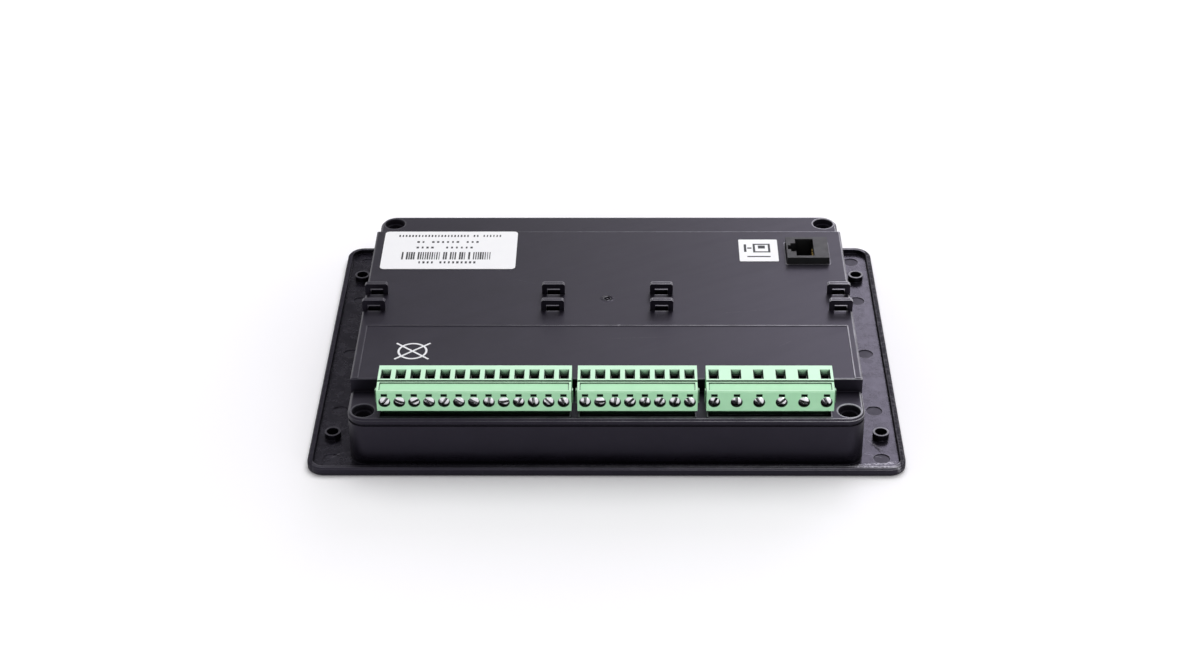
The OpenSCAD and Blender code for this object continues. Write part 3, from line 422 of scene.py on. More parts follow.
def cover_black():
    """Rear cover: fine spark-eroded grain, the sprue scar in the middle, a few handling marks, painted shade
    in the corner wells and painted highlight rings round them.
    """
    finish, tone, polish = black_plastic("cover_black_plastic", COVER_EDGE_HIGHLIGHT)
    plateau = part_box("rating_label")[0].z
    for centre, radius, share in SPRUE_SCARS:
        scar = finish.spot((*mm(*centre), plateau), radius * MM)
        broken = finish.ranged(finish.noise(0.4 * MM), 0.4, 0.55)
        tone = finish.mix(finish.times(scar, broken, share), tone, SCUFF)
    for centre, turn, length in COVER_SCRATCHES:
        scratch = finish.stroke(mm(*centre), turn, length * MM, COVER_SCRATCH_W)
        tone = finish.mix(finish.times(scratch, 0.10), tone, SCUFF)
    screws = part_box("cover_screws")[1]
    corner = (screws.x - COVER_SCREW_R, screws.y - COVER_SCREW_R, 0)
    # Painted highlight ring on the land round each corner well, stronger towards the right
    painted_well_ring = finish.times(finish.corner_wells(corner, WELL_LAND_R), right_light_ramp(finish), 0.2)
    tone = finish.mix(painted_well_ring, tone, PALE_HIGHLIGHT_AND_WEAR)
    gash = finish.times(finish.spot((*mm(0.3, 0.2), plateau), 2.3 * MM),
                        finish.ranged(finish.noise(1.3 * MM, 3.0, 0.6), 0.42, 0.5))
    # Painted shade inside the corner wells, joined with the real dark gash
    well_shade_and_gash = finish.math("MAXIMUM", finish.corner_wells(corner, WELL_R), gash)
    finish.colour(finish.mix(well_shade_and_gash, tone, BLACK_PAINTED_SHADE_AND_GASH))
    finish.rough(finish.add(polish, finish.times(well_shade_and_gash, 0.55)))
    finish.soft_edges(0.2 * MM)
    finish.bump(finish.noise(0.28 * MM, 2.0, 0.6), 0.018 * MM, 0.5)
    torn = finish.times(finish.spot((0, 0, plateau), 2.4 * MM), finish.noise(0.9 * MM, 4.0, 0.65))
    finish.bump(torn, 0.6 * MM)
    return finish


def case_black():
    """Front case: polished flange with drag marks by a screw boss, rough side rims and satin walls."""
    finish, tone, polish = black_plastic("case_black_plastic", CASE_EDGE_HIGHLIGHT)
    height = finish.axis("Z")
    back = finish.ranged(height, *BACK_OF_BEZEL)
    rim = finish.times(side_rim(finish), back)
    flange = finish.times(finish.ranged(height, *FLANGE_AND_BELOW), back, finish.rest_of(rim))
    for centre, turn, length, width, share, mark_tone in FLANGE_MARKS:
        mark = finish.stroke(mm(*centre), turn, length * MM, width * MM)
        tone = finish.mix(finish.times(mark, back, share), tone, mark_tone)
    # Pale chips on the side rims, painted stronger towards the right with the light ramp
    chips = finish.ranged(finish.noise(1.5 * MM, 3.0, 0.7), 0.5, 0.58)
    finish.colour(finish.mix(finish.times(chips, rim, right_light_ramp(finish), 0.2), tone, SCUFF))
    swirl = finish.noise(3.5 * MM, 5.0, 0.65)
    drag = finish.stroke(mm(92.6, -59.5), -1.05, 7 * MM, 2.0 * MM)
    ejector_marks = finish.times(finish.ranged(height, *EJECTOR_MARK_FLOOR), right_light_ramp(finish))
    glossy = finish.add(finish.ranged(swirl, 0.3, 0.75, 0.20, 0.33), finish.times(drag, 0.45),
                        finish.times(ejector_marks, 0.2))
    foot = finish.ranged(finish.openness(9 * MM), 0.55, 0.85, -0.14, 0.0)
    satin = finish.add(polish, foot, finish.times(rim, 0.4))
    finish.rough(finish.add(finish.times(glossy, flange), finish.times(satin, finish.rest_of(flange))))
    finish.soft_edges(0.2 * MM)
    finish.bump(finish.noise(0.28 * MM, 2.0, 0.6), 0.018 * MM, 0.45)
    finish.bump(finish.times(swirl, flange), 0.10 * MM, 0.5)
    finish.bump(finish.times(finish.noise(1.1 * MM, 4.0, 0.7), rim), 0.7 * MM, 0.9)
    return finish


def terminal_green():
    """Satin green polyamide with painted highlights on top faces and along edges, and painted shade, near
    black, deep in the wire entries.
    """
    finish = Finish("terminal_green_polyamide", (0.48, 0.80, 0.54), 0.36, Specular_IOR_Level=0.45)
    clouds = finish.noise(6 * MM, 3.0, 0.55)
    green = finish.mix(finish.ranged(clouds, 0.3, 0.75), (0.40, 0.77, 0.465), (0.45, 0.82, 0.51))
    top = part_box("plug_13way")[1].z
    near_top = finish.ranged(finish.axis("Z"), top - 0.5 * MM, top - 0.2 * MM)
    # Painted highlight: faces near the top that face up are paler, as if lit
    painted_top_sheen = finish.times(finish.ranged(finish.facing("Z"), 0.85, 0.97), near_top, 0.85)
    green = finish.mix(painted_top_sheen, green, (0.62, 0.93, 0.69))
    # Painted highlight along the outer edges
    green = finish.mix(finish.times(finish.outer_edges(0.45 * MM), 0.6), green, (0.66, 0.94, 0.70))
    # Painted shade, near black, deep in the wire entries and in creases
    unshaded_share = finish.ranged(finish.openness(8 * MM), 0.61, 0.77)
    crease_unshaded = finish.ranged(finish.openness(0.9 * MM), 0.5, 0.85, 0.25, 1.0)
    finish.colour(finish.mix(finish.times(unshaded_share, crease_unshaded), (0.003, 0.022, 0.008), green))
    sheen = finish.ranged(finish.noise(1.6 * MM), 0.3, 0.7, 0.30, 0.44)
    finish.rough(finish.add(sheen, finish.ranged(unshaded_share, 0.0, 1.0, 0.45, 0.0)))
    finish.soft_edges(0.16 * MM)
    finish.bump(finish.noise(0.5 * MM, 2.0), 0.01 * MM, 0.5)
    return finish


def plain_plastic(name, dark, pale, rough, grain=0.4 * MM, specular=0.5):
    """Moulded plastic with a cloudy tone, uneven sheen and fine grain."""
    finish = Finish(name, dark, rough, Specular_IOR_Level=specular)
    finish.colour(finish.mix(finish.ranged(finish.noise(4 * MM, 3.0), 0.3, 0.7), dark, pale))
    finish.rough(finish.ranged(finish.noise(2.5 * MM), 0.3, 0.7, rough - 0.05, rough + 0.07))
    finish.soft_edges(0.15 * MM)
    finish.bump(finish.noise(grain, 2.0), 0.01 * MM, 0.5)
    return finish


def worked_metal(name, dark, pale, rough, shaded_below=False):
    """Metal with fine lines and uneven polish, with painted shade in recesses; shaded_below adds a painted
    dark reflection on faces turned down and to the left.
    """
    finish = Finish(name, pale, rough, Metallic=1.0)
    lines = finish.noise(0.12 * MM, 2.0, 0.5, finish.mapped(turn=(0, 0.6, 0), stretch=(12.0, 1.0, 1.0)))
    metal = finish.mix(finish.ranged(finish.noise(1.5 * MM, 2.0), 0.3, 0.7), dark, pale)
    if shaded_below:
        # Painted dark reflection on faces turned down and to the left, as of the black case below; less
        # towards the left end of a row
        turned = finish.add(finish.facing("Z"), finish.times(finish.facing("X"), 0.6))
        patches = finish.ranged(finish.noise(2.2 * MM, 2.0), 0.3, 0.7, -0.14, 0.14)
        brighter_left_end = finish.ranged(finish.axis("X"), -70 * MM, 70 * MM, 0.14, -0.04)
        painted_lower_shade = finish.ranged(finish.add(turned, patches, brighter_left_end), 0.05, -0.12)
        metal = finish.mix(painted_lower_shade, metal, (0.02, 0.02, 0.022))
    # Painted shade, near black, in recesses and slots
    unshaded_share = finish.ranged(finish.openness(0.9 * MM), 0.5, 0.9)
    finish.colour(finish.mix(unshaded_share, (0.012, 0.012, 0.013), metal))
    finish.rough(finish.ranged(lines, 0.3, 0.7, rough - 0.07, rough + 0.09))
    finish.soft_edges(0.08 * MM)
    finish.bump(lines, 0.004 * MM, 0.6)
    return finish


def label_film():
    finish = Finish("label_film", (0.86, 0.86, 0.87), 0.42)
    finish.colour(finish.mix(finish.noise(7 * MM, 3.0), (0.84, 0.84, 0.86), (0.89, 0.89, 0.90)))
    finish.bump(finish.noise(1.2 * MM, 2.0), 0.012 * MM, 0.4)
    return finish


def window_acrylic():
    """Clear display window with faint wiping marks."""
    finish = Finish("window_acrylic", (0.93, 0.95, 0.96), 0.03, Transmission_Weight=1.0, IOR=1.49)
    wipes = finish.noise(6 * MM, 3.0, 0.6, finish.mapped(turn=(0, 0, 0.8), stretch=(6.0, 1.0, 1.0)))
    finish.rough(finish.ranged(wipes, 0.35, 0.75, 0.03, 0.09))
    return finish


def display_glass():
    """Grey-green display glass with its faint grid of dots."""
    finish = Finish("display_glass", (0.24, 0.29, 0.22), 0.14)
    dot = 0.5 * MM
    rows = [finish.math("PINGPONG", finish.axis(name), dot / 2) for name in ("X", "Y")]
    lines = finish.ranged(finish.math("MINIMUM", *rows), 0.05 * dot, 0.12 * dot)
    finish.colour(finish.mix(lines, (0.27, 0.32, 0.25), (0.225, 0.275, 0.205)))
    return finish


def ink(name, dark, pale):
    finish = Finish(name, dark, 0.5, Specular_IOR_Level=0.2)
    finish.colour(finish.mix(finish.ranged(finish.noise(0.9 * MM, 3.0), 0.3, 0.7), dark, pale))
    return finish


FINISHES = {
    "terminal_green": terminal_green(),
    # Near black green: the header is painted this dark to stand for the shade under the plugs
    "header_green": plain_plastic("header_green_plastic", (0.008, 0.030, 0.014), (0.011, 0.038, 0.018), 0.45),
    "bright_steel": worked_metal("bright_plated_steel", (0.66, 0.66, 0.68), (0.84, 0.84, 0.86), 0.18,
                                 shaded_below=True),
    "dark_steel": worked_metal("dark_steel", (0.012, 0.012, 0.014), (0.03, 0.03, 0.034), 0.35),
    # Dull plated metal, painted darker than bright tin to stand for the shade deep in the wire entries
    "tinned": worked_metal("tinned_copper", (0.11, 0.11, 0.11), (0.19, 0.19, 0.185), 0.32),
    "jack_black": plain_plastic("jack_black_plastic", (0.006, 0.006, 0.007), (0.010, 0.010, 0.011), 0.44,
                                specular=0.3),
    "contact_gold": worked_metal("contact_gold", (0.70, 0.48, 0.16), (0.86, 0.63, 0.26), 0.22),
    "label_white": label_film(),
    "board_green": plain_plastic("board_solder_mask", (0.012, 0.085, 0.03), (0.018, 0.12, 0.045), 0.3),
    "component_dark": plain_plastic("component_moulding", (0.020, 0.021, 0.024), (0.03, 0.031, 0.034), 0.5),
    "ferrite": plain_plastic("ferrite", (0.06, 0.055, 0.05), (0.09, 0.085, 0.08), 0.6),
    "display_metal": worked_metal("display_can_metal", (0.42, 0.43, 0.44), (0.58, 0.59, 0.60), 0.35),
    "display_glass": display_glass(),
    "light_guide": plain_plastic("light_guide", (0.78, 0.82, 0.76), (0.84, 0.87, 0.82), 0.4),
    "window_clear": window_acrylic(),
    "fascia_grey": plain_plastic("fascia_film", (0.055, 0.062, 0.072), (0.065, 0.072, 0.082), 0.45,
                                 grain=0.25 * MM),
    "key_grey": plain_plastic("key_grey_rubber", (0.09, 0.10, 0.115), (0.11, 0.12, 0.135), 0.55),
    "key_red": plain_plastic("key_red_rubber", (0.42, 0.022, 0.026), (0.50, 0.030, 0.034), 0.5),
    "key_green": plain_plastic("key_green_rubber", (0.03, 0.27, 0.08), (0.04, 0.33, 0.10), 0.5),
    "switch_cream": plain_plastic("switch_cream", (0.62, 0.60, 0.53), (0.70, 0.68, 0.61), 0.45),
    "lamp_clear": plain_plastic("lamp_resin", (0.66, 0.74, 0.64), (0.78, 0.85, 0.75), 0.14),
}
NODE_FINISHES = {"rear_cover": cover_black(), "front_case": case_black()}
BLACK_INK = ink("black_label_ink", (0.030, 0.030, 0.034), (0.055, 0.055, 0.060))
WHITE_INK = ink("white_cover_ink", (0.74, 0.74, 0.76), (0.86, 0.86, 0.88))
PALE_INK = ink("pale_fascia_ink", (0.46, 0.48, 0.50), (0.56, 0.58, 0.60))


def dress_nodes():
    """Gives each CAD node the finish of its material slot, or a finish of its own."""
    for part in frame["record"]["subparts"]:
        node = frame["nodes"].get(part["node"])
        if node is not None:
            finish = NODE_FINISHES.get(part["node"]) or FINISHES[part["material_slot"]]
            node.data.materials.clear()
            node.data.materials.append(finish.material)


# Node-built shapes


class Recipe:
    """One Geometry Nodes tree with named inputs for its sizes."""

    KINDS = {float: "NodeSocketFloat", int: "NodeSocketInt", Vector: "NodeSocketVector"}

    def __init__(self, name, sizes):
        self.tree = bpy.data.node_groups.new(name, "GeometryNodeTree")
        sockets = self.tree.interface
        sockets.new_socket(name="Geometry", in_out="OUTPUT", socket_type="NodeSocketGeometry")
        kinds = {label: self.KINDS[kind] for label, kind in sizes.items()}
        kinds["Finish"] = "NodeSocketMaterial"
        self.identifiers = {}
        for label, kind in kinds.items():
            socket = sockets.new_socket(name=label, in_out="INPUT", socket_type=kind)
            self.identifiers[label] = socket.identifier
        self.size = self.tree.nodes.new("NodeGroupInput").outputs
        self.outlet = self.tree.nodes.new("NodeGroupOutput")

    def feed(self, target, value):
        if isinstance(value, bpy.types.NodeSocket):
            self.tree.links.new(value, target)
        else:
            target.default_value = value

    def node(self, kind, inputs=(), **settings):
        """New node with its settings and with values for its inputs, by socket name or number."""
        node = self.tree.nodes.new(kind)
        for setting, value in settings.items():
            setattr(node, setting, value)
        for socket, value in dict(inputs).items():
            self.feed(node.inputs[socket], value)
        return node

    def math(self, operation, a, b=0.0):
        return self.node("ShaderNodeMath", {0: a, 1: b}, operation=operation).outputs[0]

    def scaled(self, value, factor):
        return self.math("MULTIPLY", value, factor)

    def compared(self, operation, a, b):
        node = self.node("FunctionNodeCompare", {0: a, 1: b}, data_type="FLOAT", operation=operation)
        return node.outputs[0]

    def vector(self, x=0.0, y=0.0, z=0.0):
        return self.node("ShaderNodeCombineXYZ", {"X": x, "Y": y, "Z": z}).outputs[0]

    def lowered(self, geometry, drop):
        """Geometry moved down its own Z axis."""
        shift = self.vector(z=self.scaled(drop, -1.0))
        return self.node("GeometryNodeTransform", {"Geometry": geometry, "Translation": shift}).outputs[0]

    def cylinder(self, sides, radius, depth):
        sizes = {"Vertices": sides, "Radius": radius, "Depth": depth}
        return self.node("GeometryNodeMeshCylinder", sizes).outputs["Mesh"]

    def row_of_points(self, count, start, step):
        sizes = {"Count": count, "Start Location": start, "Offset": self.vector(x=step)}
        return self.node("GeometryNodeMeshLine", sizes, mode="OFFSET").outputs["Mesh"]

    def chance(self, low, high, seed):
        """Random number between two limits, another for each point."""
        node = self.node("FunctionNodeRandomValue", data_type="FLOAT")
        floats = [socket for socket in node.inputs if socket.type == "VALUE"]
        self.feed(floats[0], low)
        self.feed(floats[1], high)
        self.feed(node.inputs["Seed"], seed)
        return [socket for socket in node.outputs if socket.type == "VALUE"][0]

    def close(self, instances):
        """Ends the tree: real faces, sharp where they meet at an angle, with the finish set."""
        real = self.node("GeometryNodeRealizeInstances", {"Geometry": instances}).outputs[0]
        angle = self.node("GeometryNodeInputMeshEdgeAngle").outputs["Unsigned Angle"]
        sharp = self.compared("GREATER_THAN", angle, SHARP_EDGE)
        smooth = self.node("GeometryNodeSetShadeSmooth", {"Geometry": real}, domain="FACE").outputs[0]
        edges = {"Geometry": smooth, "Selection": sharp, "Shade Smooth": False}
        edged = self.node("GeometryNodeSetShadeSmooth", edges, domain="EDGE").outputs[0]
        dressed = self.node("GeometryNodeSetMaterial", {"Geometry": edged, "Material": self.size["Finish"]})
        self.feed(self.outlet.inputs["Geometry"], dressed.outputs[0])

    def make(self, name, finish, sizes):
        """Runs the tree with these sizes and returns its result as a plain mesh object."""
        piece = new_object(name, bpy.data.meshes.new(name))
        modifier = piece.modifiers.new("recipe", "NODES")
        modifier.node_group = self.tree
        modifier[self.identifiers["Finish"]] = finish.material
        for label, value in sizes.items():
            modifier[self.identifiers[label]] = value
        shaped = piece.evaluated_get(bpy.context.evaluated_depsgraph_get())
        mesh = bpy.data.meshes.new_from_object(shaped)
        piece.modifiers.remove(modifier)
        piece.data = mesh
        mesh.name = name
        return piece


def clamp_screw_row():
    """Row of domed slotted screws that face -Y, each turned to another angle."""
    recipe = Recipe("clamp_screw_row", {
        "Ways": int, "Pitch": float, "First Head": Vector, "Head Radius": float, "Head Depth": float,
        "Dome Radius": float, "Slot Width": float, "Slot Depth": float, "Shank Radius": float,
        "Shank Length": float, "Turn Seed": int})
    size = recipe.size
    drum = recipe.cylinder(SCREW_HEAD_SIDES, size["Head Radius"], size["Head Depth"])
    drum = recipe.lowered(drum, recipe.scaled(size["Head Depth"], 0.5))
    dome = {"Segments": SCREW_HEAD_SIDES, "Rings": SCREW_HEAD_SIDES, "Radius": size["Dome Radius"]}
    ball = recipe.node("GeometryNodeMeshUVSphere", dome).outputs["Mesh"]
    ball = recipe.lowered(ball, size["Dome Radius"])
    head = recipe.node("GeometryNodeMeshBoolean", operation="INTERSECT", solver="EXACT")
    for part in (drum, ball):
        recipe.feed(head.inputs["Mesh 2"], part)
    slot_size = recipe.vector(recipe.scaled(size["Head Radius"], 4.0), size["Slot Width"],
                              recipe.scaled(size["Slot Depth"], 2.0))
    slot = recipe.node("GeometryNodeMeshCube", {"Size": slot_size}).outputs["Mesh"]
    slotted = recipe.node("GeometryNodeMeshBoolean", {"Mesh 1": head.outputs["Mesh"], "Mesh 2": slot},
                          operation="DIFFERENCE", solver="EXACT")
    shank = recipe.cylinder(SCREW_SHANK_SIDES, size["Shank Radius"], size["Shank Length"])
    shank_middle = recipe.math("ADD", size["Head Depth"], recipe.scaled(size["Shank Length"], 0.5))
    shank = recipe.lowered(shank, shank_middle)
    screw = recipe.node("GeometryNodeJoinGeometry")
    for part in (slotted.outputs["Mesh"], shank):
        recipe.feed(screw.inputs[0], part)
    places = recipe.row_of_points(size["Ways"], size["First Head"], size["Pitch"])
    turn = recipe.vector(x=math.pi / 2, y=recipe.chance(0.0, math.pi, size["Turn Seed"]))
    row = recipe.node("GeometryNodeInstanceOnPoints", {
        "Points": places, "Instance": screw.outputs[0], "Rotation": turn}).outputs[0]
    recipe.close(row)
    return recipe


def place_clamp_screws():
    recipe = clamp_screw_row()
    for seed, (plug, ways) in enumerate(PLUG_WAYS.items(), FIRST_TURN_SEED):
        node = plug + "_screws"
        low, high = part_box(node)
        radius = (high.z - low.z) / 2
        piece = recipe.make(plug + "_clamp_screws", FINISHES["bright_steel"], {
            "Ways": ways, "Pitch": (high.x - low.x - 2 * radius) / (ways - 1),
            "First Head": (low.x + radius, low.y, low.z + radius),
            "Head Radius": radius, "Head Depth": SCREW_HEAD_DEPTH, "Dome Radius": SCREW_DOME_R,
            "Slot Width": SCREW_SLOT_W, "Slot Depth": SCREW_SLOT_DEPTH, "Shank Radius": SCREW_SHANK_R,
            "Shank Length": high.y - low.y - SCREW_HEAD_DEPTH, "Turn Seed": seed})
        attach(piece, plug + "_assembly")
        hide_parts(node)


def print_row():
    """Row of small ink bars with random widths and gaps."""
    recipe = Recipe("print_row", {
        "Bars": int, "Step": float, "First Bar": Vector, "Height": float, "Narrow": float, "Wide": float,
        "Gaps": float, "Seed": int})
    size = recipe.size
    places = recipe.row_of_points(size["Bars"], size["First Bar"], size["Step"])
    gap_chance = recipe.chance(0.0, 1.0, recipe.math("ADD", size["Seed"], GAP_SEED_SHIFT))
    gap = recipe.compared("LESS_THAN", gap_chance, size["Gaps"])
    kept = recipe.node("GeometryNodeDeleteGeometry", {"Geometry": places, "Selection": gap}, domain="POINT")
    bar = recipe.node("GeometryNodeMeshCube", {"Size": (1.0, 1.0, INK_T)}).outputs["Mesh"]
    width = recipe.chance(size["Narrow"], size["Wide"], size["Seed"])
    row = recipe.node("GeometryNodeInstanceOnPoints", {
        "Points": kept.outputs[0], "Instance": bar,
        "Scale": recipe.vector(width, size["Height"], 1.0)}).outputs[0]
    recipe.close(row)
    return recipe


# Ink signs


def spoke(centre, radius, angle):
    """Point at a distance and an angle from a centre."""
    return (centre[0] + radius * math.cos(angle), centre[1] + radius * math.sin(angle))


def oblong(centre, w, d):
    """Corners of a rectangle about a centre."""
    signs = ((-1, -1), (1, -1), (1, 1), (-1, 1))
    return [(centre[0] + sx * w / 2, centre[1] + sy * d / 2) for sx, sy in signs]


class Print:
    """Flat ink shapes on one level face, gathered into one mesh."""

    def __init__(self, face_z, towards=1):
        self.shapes = bmesh.new()
        self.low = face_z
        self.high = face_z + towards * INK_T

    def loop(self, outline, z):
        return [self.shapes.verts.new((x, y, z)) for x, y in outline]

    def walls(self, first, second):
        for i in range(len(first)):
            j = (i + 1) % len(first)
            self.shapes.faces.new((first[i], first[j], second[j], second[i]))

    def patch(self, outline):
        """Filled outline."""
        low, high = self.loop(outline, self.low), self.loop(outline, self.high)
        self.shapes.faces.new(low)
        self.shapes.faces.new(high)
        self.walls(low, high)

    def band(self, outer, inner):
        """Area between two outlines with the same number of points."""
        rings = [self.loop(outline, z) for z in (self.low, self.high) for outline in (outer, inner)]
        for first, second in ((0, 1), (2, 3), (0, 2), (1, 3)):
            self.walls(rings[first], rings[second])

    def bar(self, centre, length, width):
        self.patch(oblong(centre, length, width))

    def frame(self, centre, w, d, width):
        self.band(oblong(centre, w, d), oblong(centre, w - 2 * width, d - 2 * width))

    def ring(self, centre, radius, width, sides=40):
        angles = [2 * math.pi * i / sides for i in range(sides)]
        self.band(*[[spoke(centre, r, a) for a in angles] for r in (radius, radius - width)])

    def arc(self, centre, radius, width, start, end, clear):
        """Piece of a ring between two bars from its centre, clear of their middle lines."""
        steps = 16
        edges = []
        for r in (radius, radius - width):
            first, last = start + math.asin(clear / r), end - math.asin(clear / r)
            edges.append([spoke(centre, r, first + (last - first) * i / steps) for i in range(steps + 1)])
        self.patch(edges[0] + edges[1][::-1])

    def cross(self, centre, length, width, first, second):
        """Two bars that cross at their middles, as one outline."""
        ends = [first, second, first + math.pi, second + math.pi]
        outline = []
        for end, after in zip(ends, ends[1:] + [first + 2 * math.pi]):
            along = Vector(spoke((0, 0), length / 2, end))
            across = Vector(spoke((0, 0), width / 2, end + math.pi / 2))
            inner = Vector(spoke((0, 0), width / 2 / math.sin((after - end) / 2), (end + after) / 2))
            outline += [Vector(centre) + corner for corner in (along - across, along + across, inner)]
        self.patch(outline)

    def arrow(self, centre, size, turn):
        """Triangle that points along the turn."""
        self.patch([spoke(centre, size, turn + a) for a in (0.0, ARROW_SPREAD, -ARROW_SPREAD)])

    def finish(self, name, body, finish, slot):
        bmesh.ops.recalc_face_normals(self.shapes, faces=self.shapes.faces[:])
        mesh = bpy.data.meshes.new(name)
        self.shapes.to_mesh(mesh)
        self.shapes.free()
        mesh.materials.append(finish.material)
        piece = new_object(name, mesh)
        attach(piece, body)


def middle_of(node):
    low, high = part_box(node)
    return (low.x + high.x) / 2, (low.y + high.y) / 2


def rating_label_print():
    """Plain rows of ink dashes and a field of bars."""
    rows = print_row()
    low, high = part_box("rating_label")
    wide, deep = high.x - low.x, high.y - low.y
    for name, start, end, level, bars, height, widest, gaps, seed in RATING_ROWS:
        step = wide * (end - start) / bars
        piece = rows.make("rating_print_" + name, BLACK_INK, {
            "Bars": bars, "Step": step,
            "First Bar": (low.x + wide * start + step / 2, low.y + deep * level, high.z + INK_T / 2),
            "Height": height * MM, "Narrow": NARROWEST_BAR * step, "Wide": widest * step,
            "Gaps": gaps, "Seed": seed})
        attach(piece, HOUSING)


def port_label_print():
    """Plain pictogram of a socket in a frame."""
    x, y = middle_of("port_label")
    sheet = Print(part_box("port_label")[1].z)
    right, up = mm(*PORT_FRAME_PLACE)
    sheet.frame((x + right, y + up), PORT_FRAME_SIDE, PORT_FRAME_SIDE, SIGN_LINE)
    for place, length, width in PORT_BARS:
        right, up = mm(*place)
        sheet.bar((x + right, y + up), length * MM, width * MM)
    sheet.finish("port_label_print", HOUSING, BLACK_INK, "component_dark")


def cover_mark():
    """White ring with crossed strokes on the legend field."""
    lean = MARK_LEAN
    sheet = Print(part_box("rating_label")[0].z - LEGEND_DEPTH)
    sheet.cross(MARK_PLACE, MARK_REACH, MARK_LINE, lean, math.pi - lean)
    turns = (lean, math.pi - lean, math.pi + lean, 2 * math.pi - lean, 2 * math.pi + lean)
    for start, end in zip(turns, turns[1:]):
        sheet.arc(MARK_PLACE, MARK_RING_R, MARK_LINE, start, end, MARK_LINE / 2 + INK_T)
    sheet.finish("cover_mark_print", HOUSING, WHITE_INK, "label_white")


def fascia_print():
    """Pale frame round the display, ticks beside the lamps and a line beside each key."""
    sheet = Print(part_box("fascia_overlay")[0].z, -1)
    low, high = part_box("display_window")
    wide, deep = high.x - low.x + WINDOW_FRAME_EXTRA, high.y - low.y + WINDOW_FRAME_EXTRA
    sheet.frame(middle_of("display_window"), wide, deep, WINDOW_LINE)
    low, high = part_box("status_leds")
    lamp_d = high.x - low.x
    step = (high.y - low.y - lamp_d) / (LAMP_COUNT - 1)
    for i in range(LAMP_COUNT):
        sheet.bar((low.x - LAMP_TICK_AWAY, low.y + lamp_d / 2 + i * step), LAMP_TICK, SIGN_LINE)
    for name in KEY_NAMES:
        key = "key_" + name
        sheet.bar((middle_of(key)[0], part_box(key)[0].y - KEY_LINE_AWAY), KEY_LINE, SIGN_LINE)
    sheet.finish("fascia_print", HOUSING, PALE_INK, "label_white")


def key_prints():
    """One plain sign on each key."""
    for name in KEY_NAMES:
        key = "key_" + name
        x, y = middle_of(key)
        sheet = Print(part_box(key)[0].z, -1)
        if name == "scroll":
            sheet.arrow((x, y + ARROW_AWAY), ARROW_R, math.pi / 2)
            sheet.arrow((x, y - ARROW_AWAY), ARROW_R, -math.pi / 2)
        elif name == "stop":
            sheet.ring((x, y), STOP_RING_R, SIGN_LINE)
        elif name == "manual":
            sheet.cross((x, y), MANUAL_CROSS, SIGN_LINE, 0.0, math.pi / 2)
        elif name == "auto":
            sheet.frame((x, y), AUTO_FRAME_W, AUTO_FRAME_D, SIGN_LINE)
            sheet.bar((x, y), AUTO_DASH, SIGN_LINE)
        else:
            sheet.bar((x, y), START_BAR_W, START_BAR_D)
        sheet.finish(key + "_print", key + "_assembly", PALE_INK, "label_white")


# Floor, light and camera


def flat_sheet(name, corners, finish):
    """Sheet with four corners."""
    mesh = bpy.data.meshes.new(name)
    mesh.from_pydata(corners, [], [(0, 1, 2, 3)])
    mesh.materials.append(finish.material)
    return new_object(name, mesh)


def studio_floor():
    """Pale paper that keeps the object's shadow and fades into the white background."""
    finish = Finish("floor_paper", FLOOR_PAPER, 0.9, Specular_IOR_Level=0.0)
    path = finish.nodes.new("ShaderNodeLightPath").outputs
    seen = finish.math("MAXIMUM", path["Is Camera Ray"], path["Is Glossy Ray"])
    seen = finish.math("MAXIMUM", seen, path["Is Transmission Ray"])
    away = finish.vector_math("LENGTH", finish.coords)
    glow = finish.add(finish.ranged(away, *FLOOR_NEAR_GLOW), finish.ranged(away, *FLOOR_FAR_GLOW))
    finish.shader.inputs["Emission Color"].default_value = (1.0, 1.0, 1.0, 1.0)
    finish.link(finish.times(seen, glow), finish.shader.inputs["Emission Strength"])
    floor = flat_sheet("studio_floor", [(x, y, 0) for x, y in oblong((0, 0), FLOOR_SIDE, FLOOR_SIDE)], finish)


def shade_card():
    """Grey card behind on the left, above the camera's view, that keeps that side's reflections darker."""
    place = Matrix.Translation(CARD_PLACE) @ Matrix.Rotation(CARD_TURN, 4, "Z")
    corners = [place @ Vector((x, 0, z)) for x, z in oblong((0, 0), CARD_W, CARD_H)]
    finish = Finish("card_grey", CARD_GREY, 0.9, Specular_IOR_Level=0.0)
    card = flat_sheet("shade_card", corners, finish)


def soft_box(name, place, size, power, colour):
    """Rectangular lamp that is aimed at the origin."""
    lamp = bpy.data.lights.new(name, "AREA")
    lamp.color = colour
    lamp.shape = "RECTANGLE"
    lamp.size, lamp.size_y = size
    lamp.energy = power
    holder = new_object(name, lamp)
    holder.location = place
    holder.rotation_mode = "QUATERNION"
    holder.rotation_quaternion = (-Vector(place)).to_track_quat("-Z", "Y")


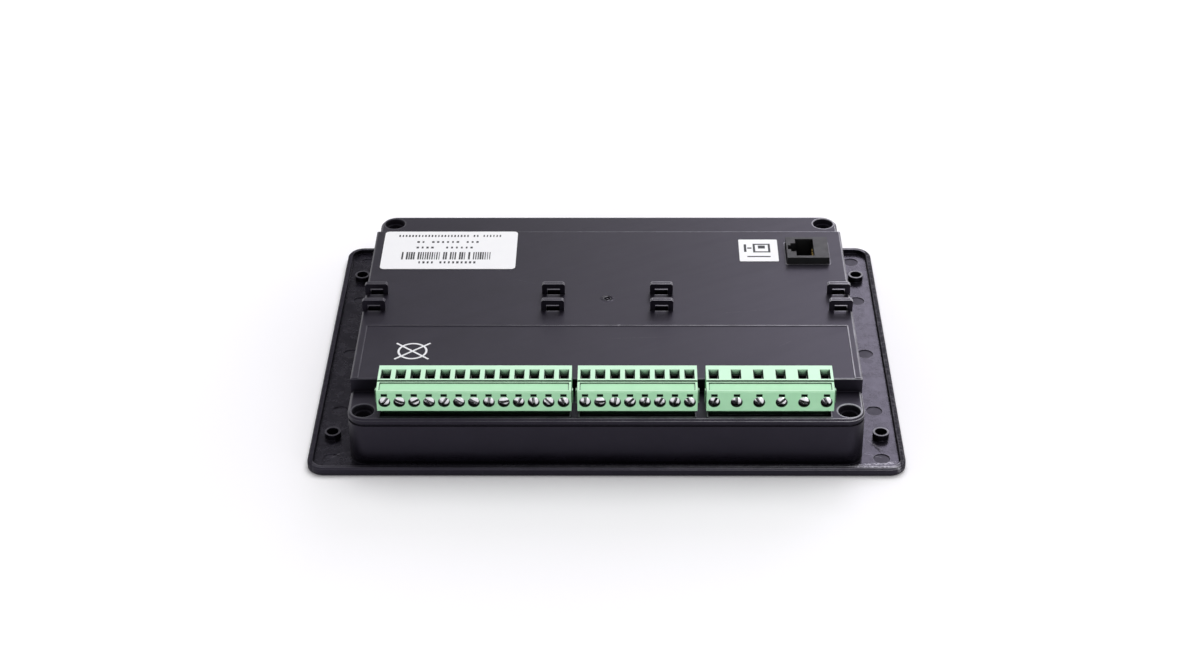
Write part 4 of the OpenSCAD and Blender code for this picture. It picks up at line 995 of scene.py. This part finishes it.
def studio_world():
    """White where it is seen or mirrored, and a plain soft light elsewhere."""
    world = bpy.data.worlds.new("studio_world")
    bpy.context.scene.world = world
    world.use_nodes = True
    nodes, links = world.node_tree.nodes, world.node_tree.links
    path = nodes.new("ShaderNodeLightPath").outputs
    back = nodes["Background"]
    back.inputs["Color"].default_value = (1.0, 1.0, 1.0, 1.0)
    seen = path["Is Camera Ray"]
    for kind in ("Is Glossy Ray", "Is Transmission Ray"):
        join = nodes.new("ShaderNodeMath")
        join.operation = "MAXIMUM"
        links.new(seen, join.inputs[0])
        links.new(path[kind], join.inputs[1])
        seen = join.outputs["Value"]
    level = nodes.new("ShaderNodeMapRange")
    links.new(seen, level.inputs["Value"])
    level.inputs["To Min"].default_value = AMBIENT
    level.inputs["To Max"].default_value = 1.0
    links.new(level.outputs["Result"], back.inputs["Strength"])


def photo_camera():
    camera = bpy.data.cameras.new("photo_camera")
    holder = new_object("photo_camera", camera)
    camera.sensor_width = SENSOR_W
    camera.lens = FOCAL_PX / PHOTO_W * SENSOR_W
    camera.shift_x = (PHOTO_W / 2 - AXIS_X) / PHOTO_W
    camera.shift_y = (AXIS_Y - PHOTO_H / 2) / PHOTO_W
    camera.clip_start = 0.01
    camera.clip_end = 50.0
    back = Vector((math.sin(CAMERA_YAW) * math.cos(CAMERA_ELEVATION),
                   -math.cos(CAMERA_YAW) * math.cos(CAMERA_ELEVATION),
                   math.sin(CAMERA_ELEVATION)))
    level = (-back).cross(Vector((0, 0, 1))).normalized()
    upright = level.cross(-back)
    right = level * math.cos(CAMERA_ROLL) + upright * math.sin(CAMERA_ROLL)
    up = upright * math.cos(CAMERA_ROLL) - level * math.sin(CAMERA_ROLL)
    turn = Matrix((right, up, back)).transposed()
    holder.matrix_world = Matrix.Translation(CAMERA_TARGET + CAMERA_DISTANCE * back) @ turn.to_4x4()
    bpy.context.scene.camera = holder


dress_nodes()
place_clamp_screws()
rating_label_print()
port_label_print()
cover_mark()
fascia_print()
key_prints()

bpy.context.scene.view_settings.view_transform = "Standard"
studio_floor()
shade_card()
studio_world()
for box_name, box_setting in SOFT_BOXES.items():
    soft_box(box_name, *box_setting)
photo_camera()
